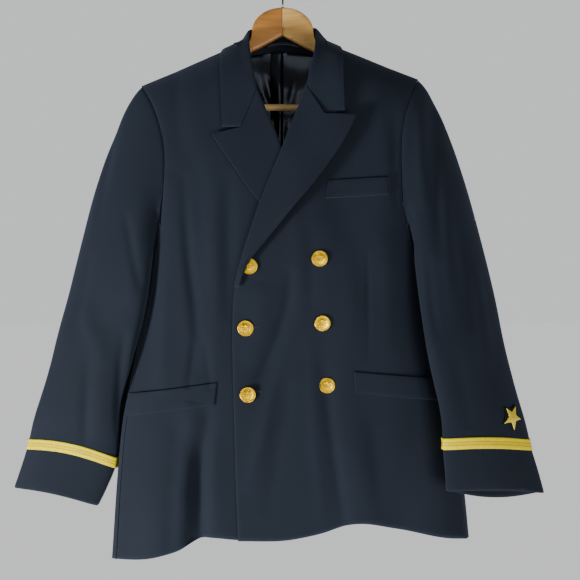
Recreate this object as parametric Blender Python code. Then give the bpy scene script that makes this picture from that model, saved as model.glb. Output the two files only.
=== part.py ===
"""A double-breasted blazer of dark serge on a wooden hanger, hung by the hook.

Every piece of cloth is a thin wall: a grid of points on its outer face, worked out from the named
sizes and short tables below, and the same grid moved in by the cloth's thickness. Sizes are in
millimetres in this file and metres in the scene. The front faces -Y, and left and right are the
wearer's, so the left side is at +X. Zero is where the hook rests on a rail.
"""

import math

import bpy
import numpy as np
from mathutils import Vector
from mathutils.bvhtree import BVHTree

MM = 0.001
LEFT, RIGHT = 1, -1

# Across, the tables count from the middle of the shoulders, and the hook hangs here
HOOK_X = -2.5

CLOTH = 2.0
SEAM_TRIM = 0.15
SET_IN_GAP = 0.35
NECK_GAP = 2.6
LINING = 1.0

# The body as rings: height, side edges, front and back planes, and the depth of each side edge
BODY = (
    # z, x_right, x_left, y_front, y_back, y_edge_right, y_edge_left
    (-100, -250, 244, -76, 20, -20, -20),
    (-210, -250, 244, -82, 21, -20, -20),
    (-320, -240, 238, -88, 22, -18, -18),
    (-437, -216, 219, -90, 22, -14, -12),
    (-546, -224, 227, -82, 20, -13, -10),
    (-648, -240, 248, -74, 18, -18, -10),
    (-732, -257, 270, -70, 20, -22, -10),
    (-800, -263, 283, -68, 24, -26, -10),
    (-861, -267, 291, -66, 27, -29, -10),
    (-927, -271, 297, -64, 30, -30, -10),
    (-965, -273, 299, -63, 31, -31, -10),
)
FRONT_FLATNESS = 3.2
BACK_FLATNESS = 4.0
SHOULDER_ROUND = 80.0

# Shoulder seams run straight from the neck point to the shoulder point
NECK_POINT = {RIGHT: (-75.8, -140.0), LEFT: (65.5, -135.0)}
SHOULDER_POINT = {RIGHT: (-223.8, -210.3), LEFT: (211.0, -199.0)}
RIDGE_Y, RIDGE_SWEEP, RIDGE_START = -8.0, 0.16, 60.0
UNDERARM_Z = -427.0

# Armholes: x at each height
ARMHOLE_FRONT = {
    RIGHT: ((-210.3, -223.8), (-245.3, -201.5), (-279.9, -188.7), (-315.5, -181.2),
            (-354.6, -182.0), (-400.6, -186.0), (-427.0, -189.0)),
    LEFT: ((-199.0, 211.0), (-218.0, 200.0), (-246.5, 188.8), (-272.8, 182.0), (-301.5, 178.2),
           (-343.0, 178.0), (-378.0, 179.5), (-404.7, 182.0), (-427.0, 187.5)),
}
ARMHOLE_BACK = {
    RIGHT: ((-210.3, -223.8), (-245.0, -210.0), (-280.0, -203.0), (-320.0, -199.0),
            (-360.0, -199.0), (-400.0, -204.0), (-418.0, -210.0)),
    LEFT: ((-199.0, 211.0), (-232.0, 200.0), (-270.0, 194.0), (-310.0, 192.0),
           (-350.0, 194.0), (-395.0, 203.0), (-418.0, 211.0)),
}
RIDGE_STEPS = (0.0, 3.0, 10.0, 22.0)
FRONT_ARM_STEPS = (0.10, 0.235, 0.39, 0.555, 0.72, 0.87, 1.0)
BACK_ARM_STEPS = (0.13, 0.32, 0.54, 0.77, 1.0)
SIDE_TOP = ((0.0, 0.0), (0.25, -11.0), (0.5, -15.0), (0.75, -7.0), (1.0, 9.0))
SEAM_STEPS = (0.045, 0.09, 0.135, 0.18, 0.225, 0.27, 0.35, 0.44, 0.53, 0.62, 0.71, 0.80, 0.90, 1.0)

# How far round each side the two side seams lie, as a share of the half width
SIDE_SEAM = ((-427.0, 0.865), (-480.0, 0.905), (-546.0, 0.925), (-690.0, 0.963), (-960.0, 0.965))
BACK_SEAM = 0.95

# Neckline, roll line and front edge of each front: x at each height
NECKLINE = {
    RIGHT: ((-140.0, -75.8), (-162.0, -72.0), (-185.0, -65.0), (-209.4, -55.4), (-231.0, -43.5)),
    LEFT: ((-135.0, 65.5), (-154.0, 62.5), (-177.3, 57.7), (-200.2, 48.5), (-222.0, 38.0)),
}
NECK_STEPS = (0.0, 3.0, 10.0, 22.0, 40.0, 64.0)
ROLL = {
    RIGHT: ((-39.4, -227.9), (-29.6, -251.5), (-11.6, -290.9), (-2.6, -316.6), (19.7, -355.5),
            (36.1, -395.9), (51.0, -440.6), (66.1, -488.1), (75.3, -525.5)),
    LEFT: ((33.5, -219.3), (24.2, -246.2), (10.8, -281.0), (-2.6, -317.2), (-19.0, -356.0),
           (-35.3, -396.2), (-50.1, -440.8), (-65.3, -488.2), (-74.5, -525.5)),
}
EDGE = {
    RIGHT: ((-525.5, 75.3), (-545.0, 77.0), (-960.0, 77.0)),
    LEFT: ((-525.5, -74.5), (-545.0, -77.0), (-605.4, -78.1), (-727.2, -75.6), (-818.9, -73.6),
           (-912.7, -70.0), (-960.0, -69.0)),
}
ROLL_ROWS = 10
ROLL_RECESS = 5.0
BREAK_STEP = 8.0

# Hem heights across the front and across the back
HEM_FRONT = (
    (-273.0, -951.0), (-229.5, -947.5), (-185.0, -937.0), (-159.8, -930.5), (-133.3, -914.0),
    (-114.8, -908.4), (-81.0, -912.0), (-70.3, -913.5), (-10.6, -914.0), (52.1, -903.7),
    (76.6, -898.4), (88.8, -889.0), (111.8, -885.0), (130.3, -886.4), (156.6, -893.5),
    (202.4, -903.5), (278.1, -922.0), (299.0, -925.0),
)
HEM_BACK = (
    (-273.0, -951.0), (-250.0, -946.0), (-200.0, -932.0), (-150.0, -921.0), (-60.0, -912.0),
    (60.0, -909.0), (120.0, -907.0), (200.0, -910.0), (260.0, -918.0), (299.0, -925.0),
)

# How far the left front stands over the right front and the lapel between them
OVERLAP = ((-960.0, 3.4), (-580.0, 3.4), (-525.0, 6.8), (-300.0, 6.8), (-260.0, 3.0), (-200.0, 0.8))
OVERLAP_FADE = 42.0
UNDER_SINK = 4.0

# Folds of the fronts: a line from top to bottom, its width, and its height towards the viewer
FOLDS = (
    # x_top, z_top, x_bottom, z_bottom, width, height
    (-131, -290, -129, -575, 12, -4.0),
    (-160, -330, -172, -660, 20, 4.0),
    (-138, -610, -149, -682, 7, -3.0),
    (-186, -730, -202, -1100, 30, 12.0),
    (-130, -735, -147, -840, 17, -9.0),
    (-145, -800, -147, -1100, 18, -11.0),
    (-102, -700, -106, -1100, 19, 4.0),
    (8, -545, -44, -690, 10, -5.5),
    (34, -550, -8, -705, 15, 3.0),
    (-3, -700, -36, -880, 22, 3.5),
    (56, -600, 62, -735, 14, -4.5),
    (62, -725, 88, -1100, 15, -6.0),
    (112, -690, 134, -1100, 28, 8.0),
    (127, -440, 129, -668, 8, -2.0),
    (150, -290, 152, -530, 26, 3.5),
    (176, -760, 190, -1100, 18, -4.0),
    (226, -740, 236, -1100, 20, 3.0),
)

# Wrap of a lapel round its roll line: distance outwards and height over the front
WRAP = ((4.7, -2.0), (2.4, -2.0), (0.5, -1.1), (0.0, 0.6), (0.8, 2.4), (2.6, 3.4), (6.0, 3.8))
WRAP_NARROW = ((0.0, 1.0), (0.8, 1.0), (1.0, 0.55))
WRAP_HEIGHT = {RIGHT: ((0.0, 1.0), (1.0, 1.0)), LEFT: ((0.0, 1.0), (0.7, 1.2), (0.88, 2.2), (1.0, 1.3))}
GORGE_COLUMNS = 3
TIP_COLUMNS = 3
NOTCH = {RIGHT: (-63.4, -286.6), LEFT: (60.8, -267.0)}
LAPEL_TIP = {RIGHT: (-107.7, -297.0), LEFT: (108.0, -269.5)}
LAPEL_EDGE = {
    RIGHT: ((-107.7, -297.0), (-102.5, -306.0), (-71.1, -351.2), (-37.4, -398.8), (-6.0, -425.0),
            (21.2, -448.2), (43.6, -476.3), (61.6, -497.1), (69.0, -525.0)),
    LEFT: ((108.0, -269.5), (99.1, -290.6), (84.1, -316.0), (54.2, -359.4), (24.3, -395.3),
           (-20.3, -448.7), (-42.8, -475.5), (-54.0, -486.6), (-61.5, -498.0), (-67.0, -525.0)),
}
LAPEL_LIFT = {
    RIGHT: ((0.0, 3.0), (0.25, 2.5), (0.42, 0.6), (0.6, 0.0), (1.0, 0.0)),
    LEFT: ((0.0, 5.0), (0.25, 8.0), (0.55, 8.5), (0.8, 6.5), (0.92, 4.5), (1.0, 1.5)),
}
LAPEL_STAND = 3.8

# Collar stations from the gorge (0) over the shoulder (1) to the centre of the back (2)
COLLAR_FOLD = {
    # station, x, y, z
    RIGHT: ((0.0, -39.4, -86.0, -227.9), (0.3, -46.3, -75.0, -194.0), (0.65, -52.3, -46.0, -155.0),
            (1.0, -56.4, -12.0, -114.0), (1.5, -42.0, 8.0, -103.0), (2.0, -2.7, 13.0, -99.0)),
    LEFT: ((0.0, 33.5, -88.0, -219.2), (0.3, 42.0, -75.0, -184.0), (0.65, 48.0, -46.0, -150.0),
           (1.0, 51.0, -12.0, -110.5), (1.5, 37.0, 8.0, -101.5), (2.0, -2.7, 13.0, -99.0)),
}
COLLAR_EDGE = {
    RIGHT: ((0.0, -92.0, -90.0, -285.0), (0.3, -93.4, -88.0, -240.0), (0.65, -93.8, -76.0, -190.0),
            (0.85, -95.5, -46.0, -165.0), (1.0, -98.0, -14.0, -148.5), (1.5, -72.0, 22.0, -142.0),
            (2.0, -2.7, 25.0, -143.0)),
    LEFT: ((0.0, 91.6, -90.0, -261.4), (0.3, 88.0, -87.0, -217.0), (0.65, 86.3, -76.0, -180.0),
           (0.85, 87.5, -46.0, -160.0), (1.0, 89.5, -14.0, -142.5), (1.5, 66.0, 22.0, -140.0),
           (2.0, -2.7, 25.0, -143.0)),
}
COLLAR_STATIONS = (0.0, 0.2, 0.4, 0.58, 0.74, 0.88, 1.0, 1.25, 1.5, 1.75, 2.0)
COLLAR_CLEAR = 4.5
COLLAR_EASE = 6
GORGE_GAP = 0.4
FOLD_HALF, FOLD_DROP = 2.6, 5.0
FOLD_HEIGHTS = ((4, 1.0), (5, 3.0), (6, 4.5))
SHOULDER_STATION = 0.8

# Sleeves: rings from the upper arm to the cuff, by the two edges seen from the front
SLEEVE = {
    # x_outer, z_outer, x_inner, z_inner, y_centre, y_tilt, half_depth, rise, back_drop
    RIGHT: (
        (-320.9, -425.7, -199.0, -479.9, -28, 30, 38, 0, 0),
        (-335.0, -489.9, -207.2, -530.0, -30, 28, 35, 0, 0),
        (-348.0, -542.9, -215.0, -569.6, -30, 24, 31, 0, 0),
        (-361.9, -595.0, -229.0, -617.8, -29, 20, 27, 0, 0),
        (-375.5, -659.6, -246.0, -680.9, -26, 13, 24, 2, 0),
        (-394.7, -717.0, -256.5, -740.1, -21, 6, 22, 6, 0),
        (-402.9, -744.5, -260.8, -771.6, -16, 3, 21, 9, 0),
        (-407.8, -768.0, -266.0, -797.4, -13, 2, 20, 12, 0),
        (-411.8, -784.2, -268.6, -814.5, -12, 1, 20, 12, 0),
        (-423.8, -819.7, -282.5, -846.0, -11, 0, 19, 10, 0),
        (-433.6, -845.9, -297.6, -875.4, -10, 0, 18, 8, 0),
    ),
    LEFT: (
        (313.8, -433.3, 197.6, -479.9, -32, 34, 38, 0, 0),
        (329.1, -498.1, 203.7, -533.0, -38, 34, 34, 0, 0),
        (339.2, -545.7, 208.2, -572.1, -42, 34, 30, 0, 0),
        (350.1, -609.7, 214.3, -618.3, -46, 34, 27, 0, 0),
        (362.8, -663.9, 224.3, -666.7, -48, 32, 24, 1, 0),
        (371.4, -699.6, 232.7, -700.4, -50, 31, 22, 3, 1),
        (383.0, -737.3, 237.5, -731.0, -52, 30, 21, 5, 4),
        (388.9, -766.0, 237.7, -752.2, -53, 30, 20, 6, 7),
        (392.0, -783.6, 237.9, -769.1, -54, 30, 20, 6, 9),
        (401.0, -811.7, 240.7, -800.1, -56, 29, 19, 6, 12),
        (409.9, -848.8, 242.7, -830.8, -58, 28, 18, 6, 15),
    ),
}
SLEEVE_FLATNESS = 0.8
STRIPE_RINGS = (7, 8)
CAP_STEPS = (0.0, 0.05, 0.13, 0.28, 0.48, 0.72)
CAP_FULLNESS = 0.6
LOOP_ANGLES = ((0, 180.0), (10, 348.0), (14, 408.0), (22, 540.0))
FRONT_SLEEVE_SEAM, BACK_SLEEVE_SEAM = 12, 18
BODY_CLEAR = 4.0

# Long folds of the sleeves: angle round the ring, its width, first and last ring, depth
SLEEVE_FOLDS = {
    RIGHT: ((300, 16, 1.0, 5.0, 4.0), (255, 14, 3.5, 7.5, -3.0), (325, 12, 4.0, 7.0, 4.0)),
    LEFT: ((300, 14, 0.5, 4.5, 4.0), (245, 14, 2.0, 7.0, -2.5), (270, 12, 5.0, 8.0, 2.0)),
}

# Pockets: corners as seen from the front
WELT = ((66.0, -366.0), (158.7, -359.4), (158.9, -386.1), (62.0, -393.5))
FLAP = {
    RIGHT: ((-243.5, -692.2), (-102.1, -670.7), (-105.8, -704.7), (-245.0, -726.6)),
    LEFT: ((106.1, -653.8), (248.0, -668.5), (250.5, -703.5), (107.2, -685.8)),
}
FLAP_GAP, FLAP_THICK = 1.2, 1.5

# Buttons: a domed cap with a rim on a shank, as radius and height over the cloth
BUTTONS = {
    "button_right_top": (-50.9, -494.3),
    "button_right_middle": (-57.3, -586.9),
    "button_right_low": (-54.7, -688.2),
    "button_left_top": (53.1, -482.9),
    "button_left_middle": (57.9, -579.4),
    "button_left_low": (65.8, -674.6),
}
BUTTON_PROFILE = (
    (2.5, 0.3), (2.5, 1.4), (10.6, 1.5), (12.1, 2.2), (12.1, 3.0), (11.4, 3.5), (10.4, 3.0),
    (8.6, 3.7), (4.8, 4.5),
)
BUTTON_TOP = 4.8
BUTTON_SIDES = 20

BRAID_GAP, BRAID_THICK = 0.4, 0.9
STAR = {LEFT: (234.0, 5.84), RIGHT: (125.0, 5.84)}
STAR_RADIUS, STAR_WAIST = 19.5, 0.42
PATCH_MARGIN = 3.2

# Hanger
HOOK_WIRE, HOOK_RADIUS = 1.6, 19.0
ARM_TOP_Z, ARM_ARC = -73.0, 54.0
ARM_THICK = 12.0
ARM_SWEEP = 0.16
ARM = (
    # x, z_top, z_bottom
    (0.2, -73.0, -118.5), (12.0, -74.4, -125.6), (24.0, -78.7, -132.8), (34.0, -85.1, -138.8),
    (41.8, -93.1, -142.9), (46.3, -100.5, -145.0), (49.0, -108.0, -146.2), (49.6, -117.0, -147.3),
    (52.5, -132.0, -149.6), (64.0, -144.5, -156.5), (85.0, -156.5, -169.0), (110.0, -168.5, -182.5),
    (140.0, -180.5, -196.0), (165.0, -192.8, -209.0), (182.0, -201.2, -220.0),
    (187.0, -203.8, -234.0), (188.5, -204.5, -248.5), (194.0, -207.5, -251.5),
    (201.0, -214.0, -252.0), (206.0, -224.0, -245.0),
)
ARM_EXTRA_DROP = 3.0
BAR_Z, BAR_HALF, BAR_RADIUS, BAR_Y = -242.0, 186.8, 5.5, -29.9

COLOURS = {
    "serge": (0.012, 0.016, 0.025, 1.0),
    "satin": (0.008, 0.009, 0.014, 1.0),
    "gold": (0.78, 0.52, 0.10, 1.0),
    "braid": (0.80, 0.60, 0.10, 1.0),
    "patch": (0.006, 0.006, 0.008, 1.0),
    "wood": (0.55, 0.32, 0.12, 1.0),
    "pale_wood": (0.72, 0.50, 0.24, 1.0),
    "steel": (0.55, 0.55, 0.56, 1.0),
}


def clear_scene():
    for thing in list(bpy.data.objects):
        bpy.data.objects.remove(thing, do_unlink=True)


def smooth(rows, at, column=1):
    """A smooth curve through a table's rows, with no overshoot between them."""
    rows = sorted(rows)
    xs = [row[0] for row in rows]
    ys = [row[column] for row in rows]
    if at <= xs[0]:
        return ys[0]
    if at >= xs[-1]:
        return ys[-1]
    steps = [(ys[i + 1] - ys[i]) / (xs[i + 1] - xs[i]) for i in range(len(xs) - 1)]
    slopes = [steps[0]]
    for before, after in zip(steps, steps[1:]):
        slopes.append(2 * before * after / (before + after) if before * after > 0 else 0.0)
    slopes.append(steps[-1])
    i = max(k for k in range(len(xs) - 1) if xs[k] <= at)
    h = xs[i + 1] - xs[i]
    t = (at - xs[i]) / h
    return (
        (1 + 2 * t) * (1 - t) ** 2 * ys[i]
        + t * (1 - t) ** 2 * h * slopes[i]
        + t * t * (3 - 2 * t) * ys[i + 1]
        + t * t * (t - 1) * h * slopes[i + 1]
    )


def smoothstep(t):
    t = min(1.0, max(0.0, t))
    return t * t * (3 - 2 * t)


def unit(v):
    return v / max(float(np.linalg.norm(v)), 1e-12)


def lerp(a, b, t):
    return a + (b - a) * t


def ring(z):
    return [smooth(BODY, z, column) for column in range(1, 7)]


def shoulder_z(x):
    side = LEFT if x > 0.5 * (NECK_POINT[LEFT][0] + NECK_POINT[RIGHT][0]) else RIGHT
    (x_neck, z_neck), (x_arm, z_arm) = NECK_POINT[side], SHOULDER_POINT[side]
    return z_neck + (x - x_neck) * (z_arm - z_neck) / (x_arm - x_neck)


def ridge_y(x):
    return RIDGE_Y - RIDGE_SWEEP * max(0.0, abs(x) - RIDGE_START)


def shoulder_share(x, z):
    below = min(1.0, max(0.0, (shoulder_z(x) - z) / SHOULDER_ROUND))
    return math.sqrt(1 - (1 - below) ** 2)


def fold_height(x, z):
    total = 0.0
    for x_top, z_top, x_low, z_low, width, height in FOLDS:
        along = (z_top - z) / (z_top - z_low)
        if not 0 < along < 1:
            continue
        across = (x - lerp(x_top, x_low, along)) / width
        ends = smoothstep(along / 0.3) * smoothstep((1 - along) / 0.3)
        total += height * ends * math.exp(-across * across)
    return total


def body_y(x, z, front):
    """Depth of the body's front or back face at a point seen from the front."""
    x_right, x_left, y_front, y_back, edge_right, edge_left = ring(z)
    middle, half = (x_right + x_left) / 2, (x_left - x_right) / 2
    across = max(-1.0, min(1.0, (x - middle) / half))
    edge = lerp(edge_right, edge_left, (across + 1) / 2)
    power = FRONT_FLATNESS if front else BACK_FLATNESS
    bulge = math.sqrt(max(0.0, 1 - abs(across) ** power))
    y = lerp(edge, y_front if front else y_back, bulge)
    if front:
        y -= fold_height(x, z) * bulge
    return lerp(ridge_y(x), y, shoulder_share(x, z))


def body_point(angle, z):
    """A point of the ring at this height: 0 degrees is the front's middle, 90 a side edge."""
    x_right, x_left = ring(z)[:2]
    x = (x_right + x_left) / 2 + (x_left - x_right) / 2 * math.sin(angle)
    return np.array([x, body_y(x, z, math.cos(angle) >= 0), z])


def ring_x(z, share):
    x_right, x_left = ring(z)[:2]
    return (x_right + x_left) / 2 + (x_left - x_right) / 2 * share


def under_edge_x(z):
    """The right front's own edge, which the left front covers."""
    if z < ROLL[RIGHT][-1][1]:
        return smooth(EDGE[RIGHT], z)
    return smooth([(row[1], row[0]) for row in ROLL[RIGHT]], z)


def over_lift(x, z):
    past = (x - under_edge_x(z) - 6.0) / OVERLAP_FADE
    return smooth(OVERLAP, z) * (1 - smoothstep(past))


def over_edge_x(z):
    """The left front's edge, from its roll line down."""
    if z < ROLL[LEFT][-1][1]:
        return smooth(EDGE[LEFT], z)
    return smooth([(row[1], row[0]) for row in ROLL[LEFT]], z)


def front_face(side, x, z):
    y = body_y(x, z, True)
    if side == LEFT:
        y -= over_lift(x, z)
    if side == RIGHT:
        hidden = smoothstep((x - over_edge_x(z) - 8.0) / 25.0)
        y += hidden * (UNDER_SINK + max(0.0, fold_height(x, z)))
    return np.array([x, y, z])


def arm_heights(side, table, steps):
    top, low = SHOULDER_POINT[side][1], table[side][-1][0]
    ridge = [top - step for step in RIDGE_STEPS]
    return ridge + [lerp(ridge[-1], low, step) for step in steps]


def hem_at(table, side, share):
    """Where a side seam at this share of the half width meets the hem."""
    z = smooth(table, ring_x(-930.0, side * share))
    return smooth(table, ring_x(z, side * share))


def line_at(points, share):
    """A point at this share of a polyline's length, rounded through its corners."""
    points = np.array(points, float)
    lengths = np.concatenate([[0], np.cumsum(np.linalg.norm(np.diff(points, axis=0), axis=1))])
    at = share * lengths[-1]
    return np.array([
        smooth([(lengths[i], points[i][k]) for i in range(len(points))], at)
        for k in range(points.shape[1])
    ])


def roll_frame(side, share):
    """A point of the roll line, and the way outwards across it, both as (x, z)."""
    here = line_at(ROLL[side], share)
    ahead = line_at(ROLL[side], min(1.0, share + 0.01)) - line_at(ROLL[side], max(0.0, share - 0.01))
    ahead = unit(ahead)
    outwards = np.array([-ahead[1], ahead[0]])
    return here, outwards * (1 if outwards[0] * side > 0 else -1)


def front_boundaries(side):
    """Rows of (x, z) down the armhole and side seam, and down the neckline, roll line and edge."""
    heights = arm_heights(side, ARMHOLE_FRONT, FRONT_ARM_STEPS)
    outer = [(smooth(ARMHOLE_FRONT[side], z), z) for z in heights]
    low = hem_at(HEM_FRONT, side, SIDE_SEAM[-1][1])
    for step in SEAM_STEPS:
        z = lerp(UNDERARM_Z, low, step)
        outer.append((ring_x(z, side * smooth(SIDE_SEAM, z)), z))
    inner = []
    for step in NECK_STEPS:
        z = NECK_POINT[side][1] - step
        inner.append((smooth(NECKLINE[side], z), z))
    for row in range(ROLL_ROWS + 1):
        share = row / ROLL_ROWS
        here, outwards = roll_frame(side, share)
        inner.append(tuple(here + outwards * ROLL_RECESS * smooth(WRAP_NARROW, share)))
    rest = len(outer) - len(inner)
    start = ROLL[side][-1][1] - BREAK_STEP
    low = smooth(HEM_FRONT, smooth(EDGE[side], -910.0))
    for row in range(rest):
        z = lerp(start, low, row / (rest - 1))
        inner.append((smooth(EDGE[side], z), z))
    return np.array(outer), np.array(inner)


FRONT_COLUMNS = 14
SHOULDER_COLUMNS, BACK_NECK_COLUMNS = 6, 4
SIDE_COLUMNS = len(SIDE_TOP) - 1
BACK_NECK = ((0.0, 0.0), (0.25, 0.45), (0.5, 0.75), (0.75, 0.94), (1.0, 1.0))
BACK_NECK_Z = -131.0


def front_grid(side):
    outer, inner = front_boundaries(side)
    rows = []
    for i, (a, b) in enumerate(zip(outer, inner)):
        row = []
        hold = (i / (len(outer) - 1)) ** 6
        for j in range(FRONT_COLUMNS + 1):
            x, z = lerp(a, b, j / FRONT_COLUMNS)
            z += hold * (smooth(HEM_FRONT, x) - lerp(outer[-1][1], inner[-1][1], j / FRONT_COLUMNS))
            row.append(front_face(side, x, z))
        rows.append(row)
    return np.array(rows)


def back_grid(side):
    """Columns from the armhole to the centre seam, rows from the shoulder and neckline to the hem."""
    heights = arm_heights(side, ARMHOLE_BACK, BACK_ARM_STEPS)
    outer = [(smooth(ARMHOLE_BACK[side], z), z) for z in heights]
    low = hem_at(HEM_BACK, side, BACK_SEAM)
    start = outer[-1][1]
    for step in SEAM_STEPS:
        z = lerp(start, low, step)
        outer.append((ring_x(z, side * BACK_SEAM), z))
    outer = np.array(outer)
    neck, arm = np.array(NECK_POINT[side]), np.array(SHOULDER_POINT[side])
    centre = np.array([0.0, BACK_NECK_Z])
    top = [lerp(arm, neck, j / SHOULDER_COLUMNS) for j in range(SHOULDER_COLUMNS)]
    for across, drop in BACK_NECK:
        top.append(np.array([lerp(neck[0], 0.0, across), lerp(neck[1], BACK_NECK_Z, drop)]))
    columns = len(top) - 1
    middle_low = smooth(HEM_BACK, 0.0)
    rows = []
    for i, a in enumerate(outer):
        fallen = (outer[0][1] - a[1]) / (outer[0][1] - outer[-1][1])
        middle = np.array([0.0, lerp(BACK_NECK_Z, middle_low, fallen)])
        if i < len(RIDGE_STEPS):
            middle[1] = BACK_NECK_Z - RIDGE_STEPS[i]
        hold = max(0.0, 1 - (outer[0][1] - a[1]) / 170.0) ** 2
        row = []
        for j in range(columns + 1):
            share = j / columns
            here = lerp(a, middle, share) + hold * (top[j] - lerp(arm, centre, share))
            settle = fallen ** 6
            here[1] += settle * (smooth(HEM_BACK, here[0]) - lerp(outer[-1][1], middle_low, share))
            row.append(np.array([here[0], body_y(here[0], here[1], False), here[1]]))
        rows.append(row)
    return np.array(rows)


def side_grid(side, front, back):
    """Between the two side seams: rows from the underarm down, columns from front to back."""
    first = front[len(RIDGE_STEPS) + len(FRONT_ARM_STEPS) - 1:, 0]
    last = back[len(RIDGE_STEPS) + len(BACK_ARM_STEPS) - 1:, 0]
    rows = []
    for i in range(len(first)):
        share = 0.0 if i == 0 else SEAM_STEPS[i - 1]
        angles = []
        for point, behind in ((first[i], False), (last[i], True)):
            centre = ring_x(point[2], 0)
            across = (point[0] - centre) / (ring_x(point[2], 1) - centre)
            angle = math.asin(max(-1.0, min(1.0, side * across)))
            angles.append(math.pi - angle if behind else angle)
        row = [first[i]]
        for step, drop in SIDE_TOP[1:-1]:
            angle = lerp(angles[0], angles[1], step)
            table = HEM_FRONT if angle < math.pi / 2 else HEM_BACK
            low = smooth(table, ring_x(-940.0, side * math.sin(angle)))
            z = lerp(UNDERARM_Z + drop, low, share)
            row.append(body_point(side * angle, z))
        row.append(last[i])
        rows.append(row)
    return np.array(rows)


def face_normals_at(grid, wrap=False):
    """Sums of the unit normals of the faces round each point of a grid."""
    count = grid.shape[1]
    total = np.zeros_like(grid)
    for i in range(grid.shape[0] - 1):
        for j in range(count if wrap else count - 1):
            k = (j + 1) % count
            a, b, c, d = grid[i, j], grid[i, k], grid[i + 1, k], grid[i + 1, j]
            normal = unit(np.cross(c - a, b - d))
            for r, s in ((i, j), (i, k), (i + 1, k), (i + 1, j)):
                total[r, s] += normal
    return total


def units(vectors):
    return vectors / np.maximum(np.linalg.norm(vectors, axis=-1, keepdims=True), 1e-9)


def trimmed(grid, normals, edge, amount=SEAM_TRIM):
    """The grid with one edge drawn back along its own surface, to leave a gap at the seam."""
    grid = grid.copy()
    lines = {
        "top": (grid[0], grid[1], normals[0]),
        "bottom": (grid[-1], grid[-2], normals[-1]),
        "first": (grid[:, 0], grid[:, 1], normals[:, 0]),
        "last": (grid[:, -1], grid[:, -2], normals[:, -1]),
    }
    line, inner, outward = lines[edge]
    moved = line.copy()
    for i in range(len(line)):
        tangent = unit(line[min(i + 1, len(line) - 1)] - line[max(i - 1, 0)])
        step = inner[i] - line[i]
        step = step - tangent * step.dot(tangent)
        step = step - outward[i] * step.dot(outward[i])
        moved[i] = line[i] + unit(step) * amount
    line[:] = moved
    return grid


def wall_mesh(outer, inner, wrap=False):
    """Triangles of a closed wall between two grids of the same size."""
    rows, columns = outer.shape[:2]
    points = np.concatenate([outer.reshape(-1, 3), inner.reshape(-1, 3)])
    half = rows * columns
    faces = []

    def quad(a, b, c, d):
        faces.append((a, b, c))
        faces.append((a, c, d))

    for i in range(rows - 1):
        for j in range(columns if wrap else columns - 1):
            k = (j + 1) % columns
            a, b = i * columns + j, i * columns + k
            c, d = (i + 1) * columns + k, (i + 1) * columns + j
            quad(a, b, c, d)
            faces.append((half + a, half + c, half + b))
            faces.append((half + a, half + d, half + c))
    for j in range(columns if wrap else columns - 1):
        k = (j + 1) % columns
        quad(k, j, half + j, half + k)
        low = (rows - 1) * columns
        quad(low + j, low + k, half + low + k, half + low + j)
    if not wrap:
        for i in range(rows - 1):
            a, d = i * columns, (i + 1) * columns
            quad(a, d, half + d, half + a)
            b, c = i * columns + columns - 1, (i + 1) * columns + columns - 1
            quad(c, b, half + b, half + c)
    return points, faces


def material_for(name, colour, rough, metal):
    made = bpy.data.materials.new(name)
    made.use_nodes = True
    shader = made.node_tree.nodes["Principled BSDF"]
    shader.inputs["Base Color"].default_value = COLOURS[colour]
    shader.inputs["Roughness"].default_value = rough
    shader.inputs["Metallic"].default_value = metal
    made.diffuse_color = COLOURS[colour]
    return made


def add_object(name, points, faces, colour="serge", rough=0.85, metal=0.0):
    points = np.asarray(points, float) - np.array([HOOK_X, 0.0, 0.0])
    corners = points[np.asarray(faces)]
    volume = np.einsum("ij,ij->", corners[:, 0], np.cross(corners[:, 1], corners[:, 2]))
    if volume < 0:
        faces = [(a, c, b) for a, b, c in faces]
    mesh = bpy.data.meshes.new(name)
    mesh.from_pydata([tuple(p * MM) for p in points], [], faces)
    mesh.materials.append(material_for(name, colour, rough, metal))
    thing = bpy.data.objects.new(name, mesh)
    bpy.context.scene.collection.objects.link(thing)
    return thing


def add_wall(name, grid, normals, thickness=CLOTH, wrap=False, **look):
    points, faces = wall_mesh(grid, grid - normals * thickness, wrap)
    return add_object(name, points, faces, **look)


def grid_tree(grids):
    """A search tree over outer faces, with each face turned outwards."""
    points, faces = [], []
    for grid, turn in grids:
        start = len(points)
        rows, columns = grid.shape[:2]
        points.extend(Vector(p) for p in grid.reshape(-1, 3))
        for i in range(rows - 1):
            for j in range(columns - 1):
                a = start + i * columns + j
                b, c, d = a + 1, a + columns + 1, a + columns
                for face in ((a, b, c), (a, c, d)):
                    faces.append(face if turn < 0 else face[::-1])
    return BVHTree.FromPolygons(points, faces)


def pushed_out(point, tree, clear):
    """The point, moved off the surface until it clears it."""
    for _ in range(3):
        spot, normal, _, _ = tree.find_nearest(Vector(point))
        off = Vector(point) - spot
        distance = off.dot(normal)
        if distance >= clear:
            return point
        point = np.array(spot + normal * clear * 1.02)
    return point


def seen_y(tree, x, z):
    """Depth of the surface met first from the front."""
    spot, _, _, _ = tree.ray_cast(Vector((x, -400.0, z)), Vector((0, 1, 0)))
    return None if spot is None else spot.y


clear_scene()

# The body panels, with seams that share their points
panels = {}
for side, word in ((LEFT, "left"), (RIGHT, "right")):
    front = front_grid(side)
    back = back_grid(side)
    panels["front_" + word] = (front, side)
    panels["back_" + word] = (back, -side)
    panels["side_" + word] = (side_grid(side, front, back), -side)

sums = {}
for grid, turn in panels.values():
    normals = face_normals_at(grid) * turn
    for point, normal in zip(grid.reshape(-1, 3), normals.reshape(-1, 3)):
        key = tuple(np.round(point, 2))
        sums[key] = sums.get(key, 0) + normal

probe = panels["front_left"][0]
middle = tuple(np.round(probe[12, 7], 2))
facing = 1 if sums[middle][1] < 0 else -1

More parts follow.
